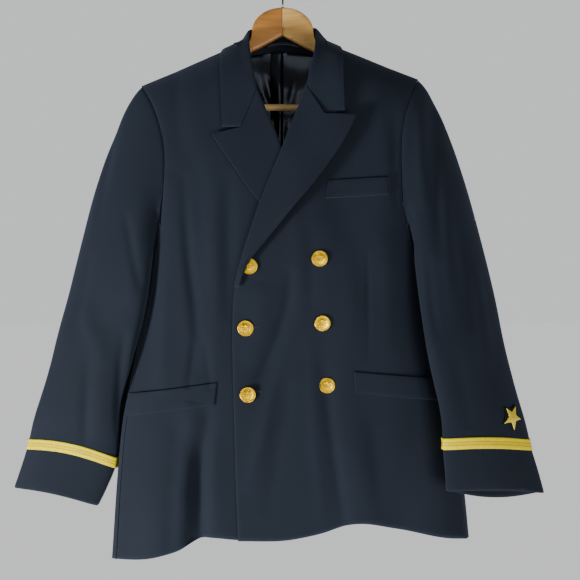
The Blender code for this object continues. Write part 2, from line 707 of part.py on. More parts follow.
body_normals = {}
for name, (grid, turn) in panels.items():
    normals = np.array([[unit(sums[tuple(np.round(p, 2))]) * facing for p in row] for row in grid])
    side = LEFT if name.endswith("left") else RIGHT
    slope = np.array(SHOULDER_POINT[side]) - np.array(NECK_POINT[side])
    up = unit(np.array([-slope[1], 0.0, slope[0]]))
    up = up if up[2] > 0 else -up
    if name.startswith("front"):
        normals[0, :] = up
    if name.startswith("back"):
        normals[0, : SHOULDER_COLUMNS + 1] = up
    body_normals[name] = normals

TRIMS = {"front": ("top", "first"), "side": ("first", "last"), "back": ("top", "first", "last")}
ARM_FRONT_ROWS = len(RIDGE_STEPS) + len(FRONT_ARM_STEPS) - 1
ARM_BACK_ROWS = len(RIDGE_STEPS) + len(BACK_ARM_STEPS) - 1
for name, (grid, turn) in panels.items():
    kind = name.split("_")[0]
    shape = grid
    for edge in TRIMS[kind]:
        whole = trimmed(shape, body_normals[name], edge)
        if edge == "first" and kind != "side":
            rows = ARM_FRONT_ROWS if kind == "front" else ARM_BACK_ROWS
            whole[:rows, 0] = shape[:rows, 0]
        if edge == "top" and kind == "back":
            whole[0, SHOULDER_COLUMNS + 1:] = shape[0, SHOULDER_COLUMNS + 1:]
        shape = whole
    add_wall(name, shape, body_normals[name])

trees = {
    LEFT: grid_tree([(panels["front_left"][0], facing)]),
    RIGHT: grid_tree([(panels["front_right"][0], -facing)]),
}
body_tree = grid_tree([(grid, turn * facing) for grid, turn in panels.values()])


# Sleeves: from the armhole over the cap to the upper arm, then ring by ring to the cuff
def armhole_loop(side, word):
    front, back, under = (panels[kind + word][0] for kind in ("front_", "back_", "side_"))
    normals = [body_normals[kind + word] for kind in ("front_", "back_", "side_")]
    points = (
        list(front[: ARM_FRONT_ROWS + 1, 0])
        + list(under[0, 1:])
        + list(back[1:ARM_BACK_ROWS, 0])[::-1]
    )
    facing_out = (
        list(normals[0][: ARM_FRONT_ROWS + 1, 0])
        + list(normals[2][0, 1:])
        + list(normals[1][1:ARM_BACK_ROWS, 0])[::-1]
    )
    points, facing_out = np.array(points), np.array(facing_out)
    tangents = units(np.roll(points, -1, axis=0) - np.roll(points, 1, axis=0))
    away = units(np.cross(tangents, facing_out)) * -side
    return points, facing_out, away


def ring_point(side, row, angle):
    x_out, z_out, x_in, z_in, y, tilt, depth, rise, drop = row
    c, s = math.cos(angle), math.sin(angle)
    x = (x_out + x_in) / 2 + (x_in - x_out) / 2 * c
    z = (z_out + z_in) / 2 + (z_in - z_out) / 2 * c
    z += rise * max(0.0, -s) ** 2 - drop * max(0.0, s) ** 2
    return np.array([x, y - tilt * c + math.copysign(depth * abs(s) ** SLEEVE_FLATNESS, s), z])


def loop_angles(points):
    steps = np.linalg.norm(np.roll(points, -1, axis=0) - points, axis=1)
    lengths = np.concatenate([[0], np.cumsum(steps)])
    angles = []
    for k in range(len(points)):
        for (k0, a0), (k1, a1) in zip(LOOP_ANGLES, LOOP_ANGLES[1:]):
            if k0 <= k < k1:
                share = (lengths[k] - lengths[k0]) / (lengths[k1] - lengths[k0])
                angles.append(math.radians(lerp(a0, a1, share)))
    return angles


def sleeve_fold(side, angle, ring_number):
    total = 0.0
    degrees = math.degrees(angle) % 360
    for centre, width, first, last, depth in SLEEVE_FOLDS[side]:
        along = (ring_number - first) / (last - first)
        if 0 < along < 1:
            across = (degrees - centre) / width
            total += depth * math.sin(math.pi * along) * math.exp(-across * across)
    return total


def sleeve_grid(side, word):
    points, facing_out, away = armhole_loop(side, word)
    angles = loop_angles(points)
    rows = SLEEVE[side]
    count = len(points)
    first = np.array([ring_point(side, rows[0], a) for a in angles])
    second = np.array([ring_point(side, rows[1], a) for a in angles])
    down = np.array([0.0, 0.0, -1.0])
    start, leave = [], []
    for k in range(count):
        flat = away[k].copy()
        flat[2] = min(flat[2], 0.0)
        valley = max(0.0, away[k][2])
        start.append(points[k] + away[k] * SET_IN_GAP + facing_out[k] * 0.6 * valley)
        bulge = facing_out[k] * np.array([1.0, 1.0, 0.0]) * 0.35
        leave.append(unit(flat + bulge * (1 - valley) + down * 0.45))
    grid = []
    for step in CAP_STEPS:
        row = []
        for k in range(count):
            span = float(np.linalg.norm(first[k] - start[k]))
            arrive = unit(second[k] - first[k]) * span
            t = step
            spot = (
                (1 + 2 * t) * (1 - t) ** 2 * start[k]
                + t * (1 - t) ** 2 * leave[k] * span * CAP_FULLNESS
                + t * t * (3 - 2 * t) * first[k]
                + t * t * (t - 1) * arrive * 0.9
            )
            row.append(spot)
        grid.append(row)
    for number, table_row in enumerate(rows):
        row = []
        for angle in angles:
            spot = ring_point(side, table_row, angle)
            spot[1] += sleeve_fold(side, angle, number)
            row.append(spot)
        grid.append(row)
    grid = np.array(grid)
    valley = range(FRONT_SLEEVE_SEAM - 3, BACK_SLEEVE_SEAM)
    for i in range(1, len(grid)):
        for k in range(count):
            low = points[k][2] - 1.0 if k in valley else UNDERARM_Z - 19.0
            if grid[i, k][2] < low:
                grid[i, k] = pushed_out(grid[i, k], body_tree, BODY_CLEAR)
    return grid, facing_out, away


sleeves = {}
for side, word in ((LEFT, "left"), (RIGHT, "right")):
    grid, facing_out, away = sleeve_grid(side, word)
    normals = units(face_normals_at(grid, wrap=True))
    outer_column = normals[8, 0]
    if outer_column[0] * side < 0:
        normals = -normals
    for k in range(grid.shape[1]):
        if normals[0, k].dot(away[k]) > 0:
            normals[0, k] = facing_out[k]
    sleeves[side] = (grid, normals)
    count = grid.shape[1]
    top = [k % count for k in range(BACK_SLEEVE_SEAM, count + FRONT_SLEEVE_SEAM + 1)]
    under = list(range(FRONT_SLEEVE_SEAM, BACK_SLEEVE_SEAM + 1))
    for name, columns in (("topsleeve_", top), ("undersleeve_", under)):
        shape, turned = grid[:, columns], normals[:, columns]
        shape = trimmed(shape, turned, "first")
        shape = trimmed(shape, turned, "last")
        add_wall(name + word, shape, turned)

# Braid round each cuff
for side, word in ((LEFT, "left"), (RIGHT, "right")):
    grid, normals = sleeves[side]
    rows = [len(CAP_STEPS) + n for n in STRIPE_RINGS]
    base, out = grid[rows], normals[rows]
    points, faces = wall_mesh(base + out * (BRAID_GAP + BRAID_THICK), base + out * BRAID_GAP, wrap=True)
    add_object("cuff_braid_" + word, points, faces, colour="braid", rough=0.45, metal=0.6)


# Buttons, each square to the cloth under it
def add_button(name, x, z, tree):
    spot, normal, _, _ = tree.ray_cast(Vector((x, -400.0, z)), Vector((0, 1, 0)))
    around = [tree.ray_cast(Vector((x + dx, -400.0, z + dz)), Vector((0, 1, 0)))[0]
              for dx, dz in ((8, 0), (-8, 0), (0, 8), (0, -8))]
    across, upward = around[0] - around[1], around[2] - around[3]
    out = across.cross(upward).normalized()
    if out.y > 0:
        out = -out
    base = max((spot_i - spot).dot(out) for spot_i in around) * 0.5
    right = across.normalized()
    upward = out.cross(right)
    points, faces = [], []
    for radius, height in BUTTON_PROFILE:
        for k in range(BUTTON_SIDES):
            turn = 2 * math.pi * k / BUTTON_SIDES
            points.append(
                spot + right * radius * math.cos(turn) + upward * radius * math.sin(turn)
                + out * (height + max(0.0, base))
            )
    low = len(points)
    points.append(spot + out * (BUTTON_PROFILE[0][1] + max(0.0, base)))
    points.append(spot + out * (BUTTON_TOP + max(0.0, base)))
    last = (len(BUTTON_PROFILE) - 1) * BUTTON_SIDES
    for k in range(BUTTON_SIDES):
        m = (k + 1) % BUTTON_SIDES
        faces.append((low, m, k))
        faces.append((low + 1, last + k, last + m))
        for r in range(len(BUTTON_PROFILE) - 1):
            a, b = r * BUTTON_SIDES + k, r * BUTTON_SIDES + m
            c, d = b + BUTTON_SIDES, a + BUTTON_SIDES
            faces.append((a, b, c))
            faces.append((a, c, d))
    add_object(name, [np.array(p) for p in points], faces, colour="gold", rough=0.3, metal=1.0)


for name, (x, z) in BUTTONS.items():
    add_button(name, x, z, trees[LEFT])


# Lapels: each wraps its roll line and lies back over the chest
def lapel_grid(side, rows=ROLL_ROWS):
    tree = trees[side]
    notch, tip = np.array(NOTCH[side]), np.array(LAPEL_TIP[side])
    gorge = unit(notch - np.array(ROLL[side][0]))
    grid = []
    for i in range(rows + 1):
        share = i / rows
        here, square = roll_frame(side, share)
        lean = max(0.0, 1 - share / 0.2)
        outwards = unit(lerp(square, gorge, lean))
        narrow = smooth(WRAP_NARROW, share)
        taller = smooth(WRAP_HEIGHT[side], share)
        row = []
        for out, height in WRAP:
            x, z = here + outwards * out * narrow
            height *= taller if height > 0 else 1.0
            row.append(np.array([x, front_face(side, x, z)[1] - height, z]))
        edge = line_at(LAPEL_EDGE[side], share ** 1.1)
        first = np.array([row[-1][0], row[-1][2]])
        bend = (1 - share) ** 3
        last = GORGE_COLUMNS + TIP_COLUMNS
        for j in range(1, last + 1):
            along = j / last
            straight = lerp(first, edge, along)
            if j <= GORGE_COLUMNS:
                cut = lerp(here + gorge * WRAP[-1][0], notch, j / GORGE_COLUMNS)
            else:
                cut = lerp(notch, tip, (j - GORGE_COLUMNS) / TIP_COLUMNS)
            base = lerp(here + gorge * WRAP[-1][0], tip, along)
            x, z = straight + bend * (cut - base) if i else cut
            y = seen_y(tree, x, z)
            y = front_face(side, x, z)[1] if y is None else y
            lift = smooth(LAPEL_LIFT[side], share) * along ** 1.3
            row.append(np.array([x, y - LAPEL_STAND * taller - lift, z]))
        grid.append(row)
    return np.array(grid)


lapels = {}
for side, word in ((LEFT, "left"), (RIGHT, "right")):
    grid = lapel_grid(side)
    normals = units(face_normals_at(grid))
    if normals[3, -2][1] > 0:
        normals = -normals
    lapels[side] = (grid, normals)
    add_wall("lapel_" + word, grid, normals)


# Collar: from one gorge round the neck to the other, up the stand, over the fold, down the fall
def collar_section(side, station, foot):
    """Points from the foot of the stand over the fold to the edge of the fall."""
    fold = np.array([smooth(COLLAR_FOLD[side], station, c) for c in (1, 2, 3)])
    edge = np.array([smooth(COLLAR_EDGE[side], station, c) for c in (1, 2, 3)])
    notch_y = lapels[side][0][0, len(WRAP) + GORGE_COLUMNS - 1][1]
    notch = np.array([NOTCH[side][0], notch_y, NOTCH[side][1]])
    knee = lerp(lerp(fold, edge, 0.55), notch, max(0.0, 1 - station / 0.5) ** 2)
    down_stand, down_fall = unit(foot - fold), unit(knee - fold)
    into = unit(down_stand + down_fall)
    across = down_fall - down_stand
    across = unit(across - into * across.dot(into))
    points = [
        foot,
        lerp(foot, fold + into * FOLD_DROP - across * FOLD_HALF, 0.5),
        fold + into * FOLD_DROP - across * FOLD_HALF,
        fold + into * 1.2 - across * 1.9,
        fold,
        fold + into * 1.2 + across * 1.9,
        fold + into * FOLD_DROP + across * FOLD_HALF,
    ]
    for j in range(1, GORGE_COLUMNS + 1):
        points.append(lerp(points[6], knee, j / GORGE_COLUMNS))
    for j in range(1, TIP_COLUMNS + 1):
        points.append(lerp(knee, edge, j / TIP_COLUMNS))
    if station < SHOULDER_STATION:
        for j, height in FOLD_HEIGHTS:
            spot = points[j]
            spot[1] = min(spot[1], front_face(side, spot[0], spot[2])[1] - height)
    for j in range(len(WRAP), len(points)):
        points[j] = pushed_out(points[j], body_tree, COLLAR_CLEAR)
    return points


def collar_half(side, word):
    """Stations from the gorge to the centre of the back."""
    front, back = panels["front_" + word][0], panels["back_" + word][0]
    front_out, back_out = body_normals["front_" + word], body_normals["back_" + word]
    gorge = lapels[side][0][0]
    away = unit(np.array(NOTCH[side]) - np.array(ROLL[side][0]))
    shift = np.array([-away[1], 0.0, away[0]]) * side
    if shift[2] < 0:
        shift = -shift
    first = [p + shift * GORGE_GAP for p in gorge]
    corner = np.array([smooth(COLLAR_EDGE[side], 0.0, c) for c in (1, 2, 3)])
    knee = first[len(WRAP) + GORGE_COLUMNS - 1]
    for j in range(1, TIP_COLUMNS + 1):
        spot = lerp(knee, corner, j / TIP_COLUMNS)
        y = seen_y(trees[side], spot[0], spot[2])
        first[len(WRAP) + GORGE_COLUMNS - 1 + j] = np.array([spot[0], y - LAPEL_STAND, spot[2]])
    sections = [first]
    neck = [front[row, -1] for row in range(len(NECK_STEPS) - 1, -1, -1)]
    neck_out = [front_out[row, -1] for row in range(len(NECK_STEPS) - 1, -1, -1)]
    inwards = [front[row, -1] - front[row, -2] for row in range(len(NECK_STEPS) - 1, -1, -1)]
    for j in range(SHOULDER_COLUMNS + 1, back.shape[1]):
        neck.append(back[0, j])
        neck_out.append(back_out[0, j])
        inwards.append(back[0, j] - back[1, j])
    for k, station in enumerate(COLLAR_STATIONS[1:]):
        tangent = unit(neck[min(k + 1, len(neck) - 1)] - neck[max(k - 1, 0)])
        step = inwards[k] - tangent * inwards[k].dot(tangent)
        step = unit(step - neck_out[k] * step.dot(neck_out[k]))
        foot = neck[k] - neck_out[k] * CLOTH + step * NECK_GAP
        sections.append(collar_section(side, station, foot))
    return sections


right_half, left_half = collar_half(RIGHT, "right"), collar_half(LEFT, "left")
collar = np.array(right_half + left_half[:-1][::-1])
collar[len(right_half) - 1] = (np.array(right_half[-1]) + np.array(left_half[-1])) / 2
for _ in range(COLLAR_EASE):
    eased = collar.copy()
    leaf = slice(len(WRAP), None)
    eased[1:-1, leaf] = collar[1:-1, leaf] / 2 + (collar[:-2, leaf] + collar[2:, leaf]) / 4
    for row in eased[1:-1]:
        for j in range(len(WRAP), len(row)):
            row[j] = pushed_out(row[j], body_tree, COLLAR_CLEAR)
    collar = eased
collar_out = units(face_normals_at(collar))
if collar_out[len(right_half) - 1, -1][1] < 0:
    collar_out = -collar_out
shared = len(WRAP) + GORGE_COLUMNS
collar_out[0, :shared] = lapels[RIGHT][1][0, :shared]
collar_out[-1, :shared] = lapels[LEFT][1][0, :shared]
add_wall("collar", collar, collar_out)

# Lining of the back, seen through the neck, with a pleat down its middle
LINING_GAP = 1.2
PLEAT = ((-22.0, 1.8), (-9.0, 6.0), (-5.5, 5.2), (-3.0, 1.0))
lining_columns = []
for word in ("right", "left"):
    grid, out = panels["back_" + word][0], body_normals["back_" + word]
    for j in range(3, grid.shape[1]):
        if word == "left" and j == grid.shape[1] - 1:
            continue
        rows = list(range(2, grid.shape[0], 2))
        line = [grid[i, j] - out[i, j] * (CLOTH + LINING_GAP) for i in rows]
        facing_line = [out[i, j] for i in rows]
        line[-1] = lerp(line[-2], line[-1], 0.75)
        lining_columns.append((line, facing_line, word))
right_columns = [c for c in lining_columns if c[2] == "right"]
left_columns = [c for c in lining_columns if c[2] == "left"][::-1]
lining = np.array([c[0] for c in right_columns + left_columns]).transpose(1, 0, 2)
lining_out = np.array([c[1] for c in right_columns + left_columns]).transpose(1, 0, 2)
middle = len(right_columns) - 1
before, after = lining[:, : middle], lining[:, middle + 1:]
before_out, after_out = lining_out[:, : middle], lining_out[:, middle + 1:]
pleat, pleat_out = [], []
for x, rise in PLEAT:
    line = lining[:, middle].copy()
    line[:, 0] = x
    line[:, 1] -= rise
    pleat.append(line)
    pleat_out.append(lining_out[:, middle])
lining = np.concatenate([before, np.array(pleat).transpose(1, 0, 2), after], axis=1)
lining_out = units(face_normals_at(lining))
if lining_out[3, 2][1] < 0:
    lining_out = -lining_out
add_wall("back_lining", lining, lining_out, LINING, colour="satin", rough=0.35)


# Straps and wires swept along a line
def swept(points, section, up):
    """Triangles of a section, given as (across, up) pairs, carried along a line of points."""
    points = [np.array(p, float) for p in points]
    rings = []
    for i, spot in enumerate(points):
        ahead = unit(points[min(i + 1, len(points) - 1)] - points[max(i - 1, 0)])
        across = unit(np.cross(ahead, np.array(up, float)))
        lift = np.cross(across, ahead)
        rings.append([spot + across * a + lift * b for a, b in section])
    count = len(section)
    made = [p for ring_points in rings for p in ring_points]
    faces = []
    for i in range(len(rings) - 1):
        for k in range(count):
            m = (k + 1) % count
            a, b = i * count + k, i * count + m
            c, d = b + count, a + count
            faces.append((a, b, c))
            faces.append((a, c, d))
    for start, flip in ((0, True), ((len(rings) - 1) * count, False)):
        made.append(np.mean([made[start + k] for k in range(count)], axis=0))
        for k in range(count):
            m = (k + 1) % count
            face = (len(made) - 1, start + k, start + m)
            faces.append(face[::-1] if flip else face)
    return made, faces


def round_section(radius, sides):
    return [(radius * math.cos(2 * math.pi * k / sides), radius * math.sin(2 * math.pi * k / sides))
            for k in range(sides)]


LOOP_HALF, LOOP_Z = 27.5, -134.0
loop_line = []
for k in range(13):
    share = -1 + 2 * k / 12
    lift = 1 - share * share
    loop_line.append((-2.0 + LOOP_HALF * share, 6.8 - 4.8 * lift - 2.5 * share * share, LOOP_Z + 4.0 * lift))
points, faces = swept(loop_line, [(-0.7, -2.4), (0.7, -2.4), (0.7, 2.4), (-0.7, 2.4)], (0, 0, 1))
add_object("hanging_loop", points, faces)

# Hook, bar and the two arms of the hanger
hook_centre = HOOK_WIRE - HOOK_RADIUS
hook_line = [(0, 0, -72.6), (0, 0, -62), (0, 0, -54), (1.0, 0, -46.5), (4.2, 0, -40.0), (9.0, 0, -34.8)]
hook_line = [(HOOK_X + x, y, z) for x, y, z in hook_line]
for degrees in range(-44, 205, 16):
    turn = math.radians(degrees)
    hook_line.append((HOOK_X + HOOK_RADIUS * math.cos(turn), 0, hook_centre + HOOK_RADIUS * math.sin(turn)))
points, faces = swept(hook_line, round_section(HOOK_WIRE, 10), (0, 1, 0))
add_object("hanger_hook", points, faces, colour="steel", rough=0.3, metal=1.0)

points, faces = swept([(HOOK_X + x, BAR_Y, BAR_Z) for x in (-BAR_HALF, 0.0, BAR_HALF)],
                      round_section(BAR_RADIUS, 16), (0, 0, 1))
add_object("trouser_bar", points, faces, colour="pale_wood", rough=0.5)

ARM_ROUND = 2.5
for side, word in ((LEFT, "left"), (RIGHT, "right")):
    rings = []
    for x, z_top, z_low in ARM:
        if side == RIGHT:
            z_top -= ARM_EXTRA_DROP * smoothstep((x - 50.0) / 20.0)
        y = -ARM_SWEEP * x
        half = ARM_THICK / 2 * (1 if x < 195 else 0.8 if x < 203 else 0.5)
        r = ARM_ROUND * (1 if x < 203 else 0.6)
        profile = ((-half, z_low + r), (-half, z_top - r), (-half + r, z_top), (half - r, z_top),
                   (half, z_top - r), (half, z_low + r), (half - r, z_low), (-half + r, z_low))
        rings.append([np.array([HOOK_X + side * x, y + dy, z]) for dy, z in profile])
    made = [p for ring_points in rings for p in ring_points]
    faces = []
    for i in range(len(rings) - 1):
        for k in range(8):
            m = (k + 1) % 8
            a, b = i * 8 + k, i * 8 + m
            faces.append((a, b, b + 8))
            faces.append((a, b + 8, a + 8))
    for start, flip in ((0, True), ((len(rings) - 1) * 8, False)):
        made.append(np.mean([made[start + k] for k in range(8)], axis=0))
        for k in range(8):
            m = (k + 1) % 8
            face = (len(made) - 1, start + k, start + m)
            faces.append(face[::-1] if flip else face)
    add_object("hanger_arm_" + word, made, faces, colour="wood", rough=0.5)


# Pockets: a welt on the chest and a flap on each hip
def draped(corners, columns, rows, tree):
    """A grid between four corners, at the depth of the cloth under it."""
    a, b, c, d = (np.array(p, float) for p in corners)
    grid = []
    for i in range(rows + 1):
        row = []
        for j in range(columns + 1):
            x, z = lerp(lerp(a, b, j / columns), lerp(d, c, j / columns), i / rows)
            y = seen_y(tree, x, z)
            row.append(np.array([x, y, z]))
        grid.append(row)
    grid = np.array(grid)
    out = units(face_normals_at(grid))
    return grid, out if out[0, 0][1] < 0 else -out


for name, corners, columns, rows, side in (
    ("breast_welt", WELT, 12, 3, LEFT),
    ("pocket_flap_left", FLAP[LEFT], 18, 4, LEFT),
    ("pocket_flap_right", FLAP[RIGHT], 18, 4, RIGHT),
):
    grid, out = draped(corners, columns, rows, body_tree)
    points, faces = wall_mesh(grid + out * (FLAP_GAP + FLAP_THICK), grid + out * FLAP_GAP)
    add_object(name, points, faces)


# A star on its patch over each braid
def star_outline(radius, waist, turn):
    points = []
    for k in range(10):
        angle = math.radians(-90 + 36 * k) + turn
        reach = radius if k % 2 == 0 else radius * waist
        points.append((reach * math.cos(angle), reach * math.sin(angle)))
    return points


def sleeve_tree(side):
    grid, _ = sleeves[side]
    closed = np.concatenate([grid, grid[:, :1]], axis=1)
    return grid_tree([(closed, 1)])


for side, word in ((LEFT, "left"), (RIGHT, "right")):
    angle, ring_number = STAR[side]
    tree = sleeve_tree(side)
    low = int(ring_number)
    rows = SLEEVE[side]
    share = ring_number - low
    above, below = (ring_point(side, rows[n], math.radians(angle)) for n in (low, low + 1))
    centre = lerp(above, below, share)
    spot, normal, _, _ = tree.find_nearest(Vector(centre))
    out = np.array(normal)
    x_out, z_out, x_in, z_in, y_axis = rows[low][:5]
    axis = np.array([(x_out + x_in) / 2, y_axis, (z_out + z_in) / 2])
    if (np.array(spot) - axis).dot(out) < 0:
        out = -out
    spot = np.array(spot)
    up = unit(np.array([0.0, 0.0, 1.0]) - out * out[2])
    right = unit(np.cross(up, out))

    def on_cloth(a, b, height):
        start = Vector(spot + right * a + up * b + out * 40.0)
        hit = tree.ray_cast(start, Vector(-out))[0]
        if hit is None:
            hit = tree.find_nearest(Vector(spot + right * a + up * b))[0]
        return np.array(hit) + out * height

    for name, radius, waist, heights, colour in (
        ("star_patch_", STAR_RADIUS + PATCH_MARGIN, 0.55, (1.1, 1.9, 1.9), "patch"),
        ("star_", STAR_RADIUS, STAR_WAIST, (2.6, 3.4, 4.5), "braid"),
    ):
        outline = star_outline(radius, waist, 0.06)
        half = [(a * 0.5, b * 0.5) for a, b in outline]
        made = [on_cloth(a, b, heights[0]) for a, b in outline]
        made += [on_cloth(a, b, heights[1]) for a, b in outline]
        made += [on_cloth(a, b, lerp(heights[1], heights[2], 0.5)) for a, b in half]
        made += [on_cloth(a, b, heights[0]) for a, b in half]
        made += [on_cloth(0, 0, heights[2]), on_cloth(0, 0, heights[0])]
        faces = []
        for k in range(10):
            m = (k + 1) % 10
            for a, b, c, d in (
                (k, m, 10 + m, 10 + k), (10 + k, 10 + m, 20 + m, 20 + k), (m, k, 30 + k, 30 + m),
            ):
                faces.append((a, b, c))
                faces.append((a, c, d))
            faces.append((20 + k, 20 + m, 40))
            faces.append((30 + m, 30 + k, 41))
        shine = 0.5 if colour == "braid" else 0.0
        add_object(name + word, made, faces, colour=colour, rough=0.5, metal=shine)
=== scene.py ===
"""A double-breasted blazer of dark navy serge, hung on a wooden hanger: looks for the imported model.

Metres, +Z up, the front faces -Y, and zero is where the hook rests on a rail. Left and right are
the wearer's, so the left side is at +X. The sections follow the order in which it is made up.
"""

import math

import bmesh
import bpy
import numpy as np
from mathutils import Matrix, Vector, noise
from mathutils.bvhtree import BVHTree
from mathutils.kdtree import KDTree


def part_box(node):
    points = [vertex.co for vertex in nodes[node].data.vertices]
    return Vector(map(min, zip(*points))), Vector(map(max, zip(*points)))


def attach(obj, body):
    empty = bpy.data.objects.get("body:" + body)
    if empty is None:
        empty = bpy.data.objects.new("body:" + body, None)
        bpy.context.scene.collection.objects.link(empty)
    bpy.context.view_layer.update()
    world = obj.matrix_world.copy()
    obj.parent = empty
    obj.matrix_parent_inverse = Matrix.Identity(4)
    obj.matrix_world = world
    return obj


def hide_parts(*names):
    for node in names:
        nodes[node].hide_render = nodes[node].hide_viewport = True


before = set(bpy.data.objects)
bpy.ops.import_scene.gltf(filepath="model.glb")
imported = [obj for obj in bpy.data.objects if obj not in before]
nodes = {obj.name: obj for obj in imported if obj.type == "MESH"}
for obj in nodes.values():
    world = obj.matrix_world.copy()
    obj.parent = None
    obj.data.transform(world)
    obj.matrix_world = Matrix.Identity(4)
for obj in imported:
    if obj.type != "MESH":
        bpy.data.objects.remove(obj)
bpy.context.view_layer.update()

# Body of the blazer: two fronts, two side bodies and two backs of navy wool serge, a fine twill.
# Each panel is cut to shape and joined to its neighbours by pressed-open seams, and the cloth
# hangs from the hanger's arms in long soft folds.
MM = 0.001
MERGE = 0.00002
FLAT_TURN = math.radians(38)
RIM_TURN = math.radians(48)
CORNER_TURN = math.radians(35)
CLOTH_ROUNDS = 3


def add_object(name, data):
    made = bpy.data.objects.new(name, data)
    bpy.context.scene.collection.objects.link(made)
    return made


def evaluated_mesh(piece):
    """The piece with its modifiers applied, as a plain mesh."""
    graph = bpy.context.evaluated_depsgraph_get()
    return bpy.data.meshes.new_from_object(piece.evaluated_get(graph))


def shade_smooth(mesh):
    for polygon in mesh.polygons:
        polygon.use_smooth = True


def dress(piece, material, solid, slot_name):
    """Gives the piece its material and puts it in its solid's place."""
    piece.data.materials.append(material)
    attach(piece, "root")
    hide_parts(solid)


def cloth_copy(solid, name, rounds=CLOTH_ROUNDS, mark=None):
    """The solid's wall as a fine smooth mesh. Its cut edges and corners stay where they are."""
    shell = bmesh.new()
    shell.from_mesh(nodes[solid].data)
    bmesh.ops.remove_doubles(shell, verts=shell.verts, dist=MERGE)
    bmesh.ops.join_triangles(
        shell, faces=shell.faces, angle_face_threshold=FLAT_TURN,
        angle_shape_threshold=math.pi,
    )
    rim_edge = shell.edges.layers.float.new("crease_edge")
    corner = shell.verts.layers.float.new("crease_vert")
    for edge in shell.edges:
        if edge.calc_face_angle(0.0) > RIM_TURN:
            edge[rim_edge] = 1.0
    for point in shell.verts:
        rims = [edge for edge in point.link_edges if edge[rim_edge] > 0]
        if len(rims) > 2:
            point[corner] = 1.0
        elif len(rims) == 2:
            ahead, behind = (edge.other_vert(point).co - point.co for edge in rims)
            if math.pi - ahead.angle(behind) > CORNER_TURN:
                point[corner] = 1.0
    if mark is not None:
        marked = shell.verts.layers.float.new("mark")
        for point in shell.verts:
            point[marked] = mark(point)
    mesh = bpy.data.meshes.new(name)
    shell.to_mesh(mesh)
    shell.free()
    piece = add_object(name, mesh)
    rounding = piece.modifiers.new("rounding", "SUBSURF")
    rounding.levels = rounding.render_levels = rounds
    fine = evaluated_mesh(piece)
    piece.modifiers.clear()
    piece.data = fine
    bpy.data.meshes.remove(mesh)
    fine.name = name
    shade_smooth(fine)
    return piece


def points_of(piece):
    flat = np.empty(len(piece.data.vertices) * 3)
    piece.data.vertices.foreach_get("co", flat)
    return flat.reshape(-1, 3)


def set_points(piece, points):
    piece.data.vertices.foreach_set("co", points.ravel())
    piece.data.update()


def rim_distance(piece, reach):
    """How far each point lies from the nearest cut edge, up to reach."""
    crease = piece.data.attributes.get("crease_edge")
    points = points_of(piece)
    on_rim = set()
    for edge in piece.data.edges:
        if crease is not None and crease.data[edge.index].value > 0.5:
            on_rim.update(edge.vertices)
    tree = KDTree(len(on_rim))
    for index in on_rim:
        tree.insert(points[index], index)
    tree.balance()
    away = np.full(len(points), reach)
    for index, point in enumerate(points):
        found = tree.find(point)
        if found[0] is not None:
            away[index] = min(reach, found[2])
    return away


# A fold fades out towards both its ends as this power of a sine
LINE_TAPER = 0.6


def line_push(points, lines):
    """Depth of the soft troughs (+) and ridges (-) at points, from lines in millimetres."""
    depth = np.zeros(len(points))
    across = points[:, [0, 2]] / MM
    for width, height, path in lines:
        path = np.array(path, float)
        lengths = np.linalg.norm(np.diff(path, axis=0), axis=1)
        start = np.concatenate([[0], np.cumsum(lengths)])
        best = np.full(len(points), 1e9)
        where = np.zeros(len(points))
        for k, length in enumerate(lengths):
            heading = (path[k + 1] - path[k]) / length
            along = np.clip((across - path[k]) @ heading, 0, length)
            gap = np.linalg.norm(across - path[k] - along[:, None] * heading, axis=1)
            nearer = gap < best
            best = np.where(nearer, gap, best)
            where = np.where(nearer, start[k] + along, where)
        share = where / start[-1]
        taper = np.sin(np.pi * np.clip(share, 0, 1)) ** LINE_TAPER
        depth += height * taper * np.exp(-(best / width) ** 2)
    return depth * MM


RIPPLE_ROW, RIPPLE_STRETCH = 3.1, 0.6


def ripple(points, size, height):
    """A gentle unevenness of the cloth, the same for every piece that lies there."""
    scale = 1.0 / size
    spots = [Vector((p[0] * scale, RIPPLE_ROW, p[2] * scale * RIPPLE_STRETCH)) for p in points]
    return np.array([noise.noise(spot) for spot in spots]) * height


def set_map(piece, across, along):
    """Gives the piece a map named cloth from two values a point."""
    layer = piece.data.uv_layers.new(name="cloth")
    flat = np.stack([across, along], axis=1)
    corners = np.empty(len(piece.data.loops), dtype=np.int32)
    piece.data.loops.foreach_get("vertex_index", corners)
    layer.data.foreach_set("uv", flat[corners].ravel())


def map_cloth(piece, across, along):
    """Gives the piece a flat map in metres, so the weave follows it."""
    points = points_of(piece)
    set_map(piece, points @ np.array(across), points @ np.array(along))


def new_material(name, **sockets):
    """A material, its node tree and its shader, with the shader's plain sockets set."""
    material = bpy.data.materials.new(name)
    material.use_nodes = True
    tree = material.node_tree
    shader = tree.nodes["Principled BSDF"]
    for key, value in sockets.items():
        shader.inputs[key.replace("_", " ")].default_value = value
    return material, tree, shader


def node(tree, kind, links=(), **values):
    """Adds a shader node, sets its fields and plain inputs, and links sockets to its inputs."""
    made = tree.nodes.new(kind)
    for key, value in values.items():
        if hasattr(made, key):
            setattr(made, key, value)
        else:
            made.inputs[key.replace("_", " ")].default_value = value
    for socket, source in links:
        tree.links.new(source, made.inputs[socket])
    return made


def ramp(tree, source, stops):
    made = node(tree, "ShaderNodeValToRGB", [("Fac", source)])
    while len(made.color_ramp.elements) < len(stops):
        made.color_ramp.elements.new(0.5)
    for element, (place, colour) in zip(made.color_ramp.elements, stops):
        element.position = place
        element.color = (*colour, 1.0)
    return made


def object_noise(tree, **values):
    """Noise on the object's own coordinates."""
    place = node(tree, "ShaderNodeTexCoord")
    return node(tree, "ShaderNodeTexNoise", [("Vector", place.outputs["Object"])], **values)


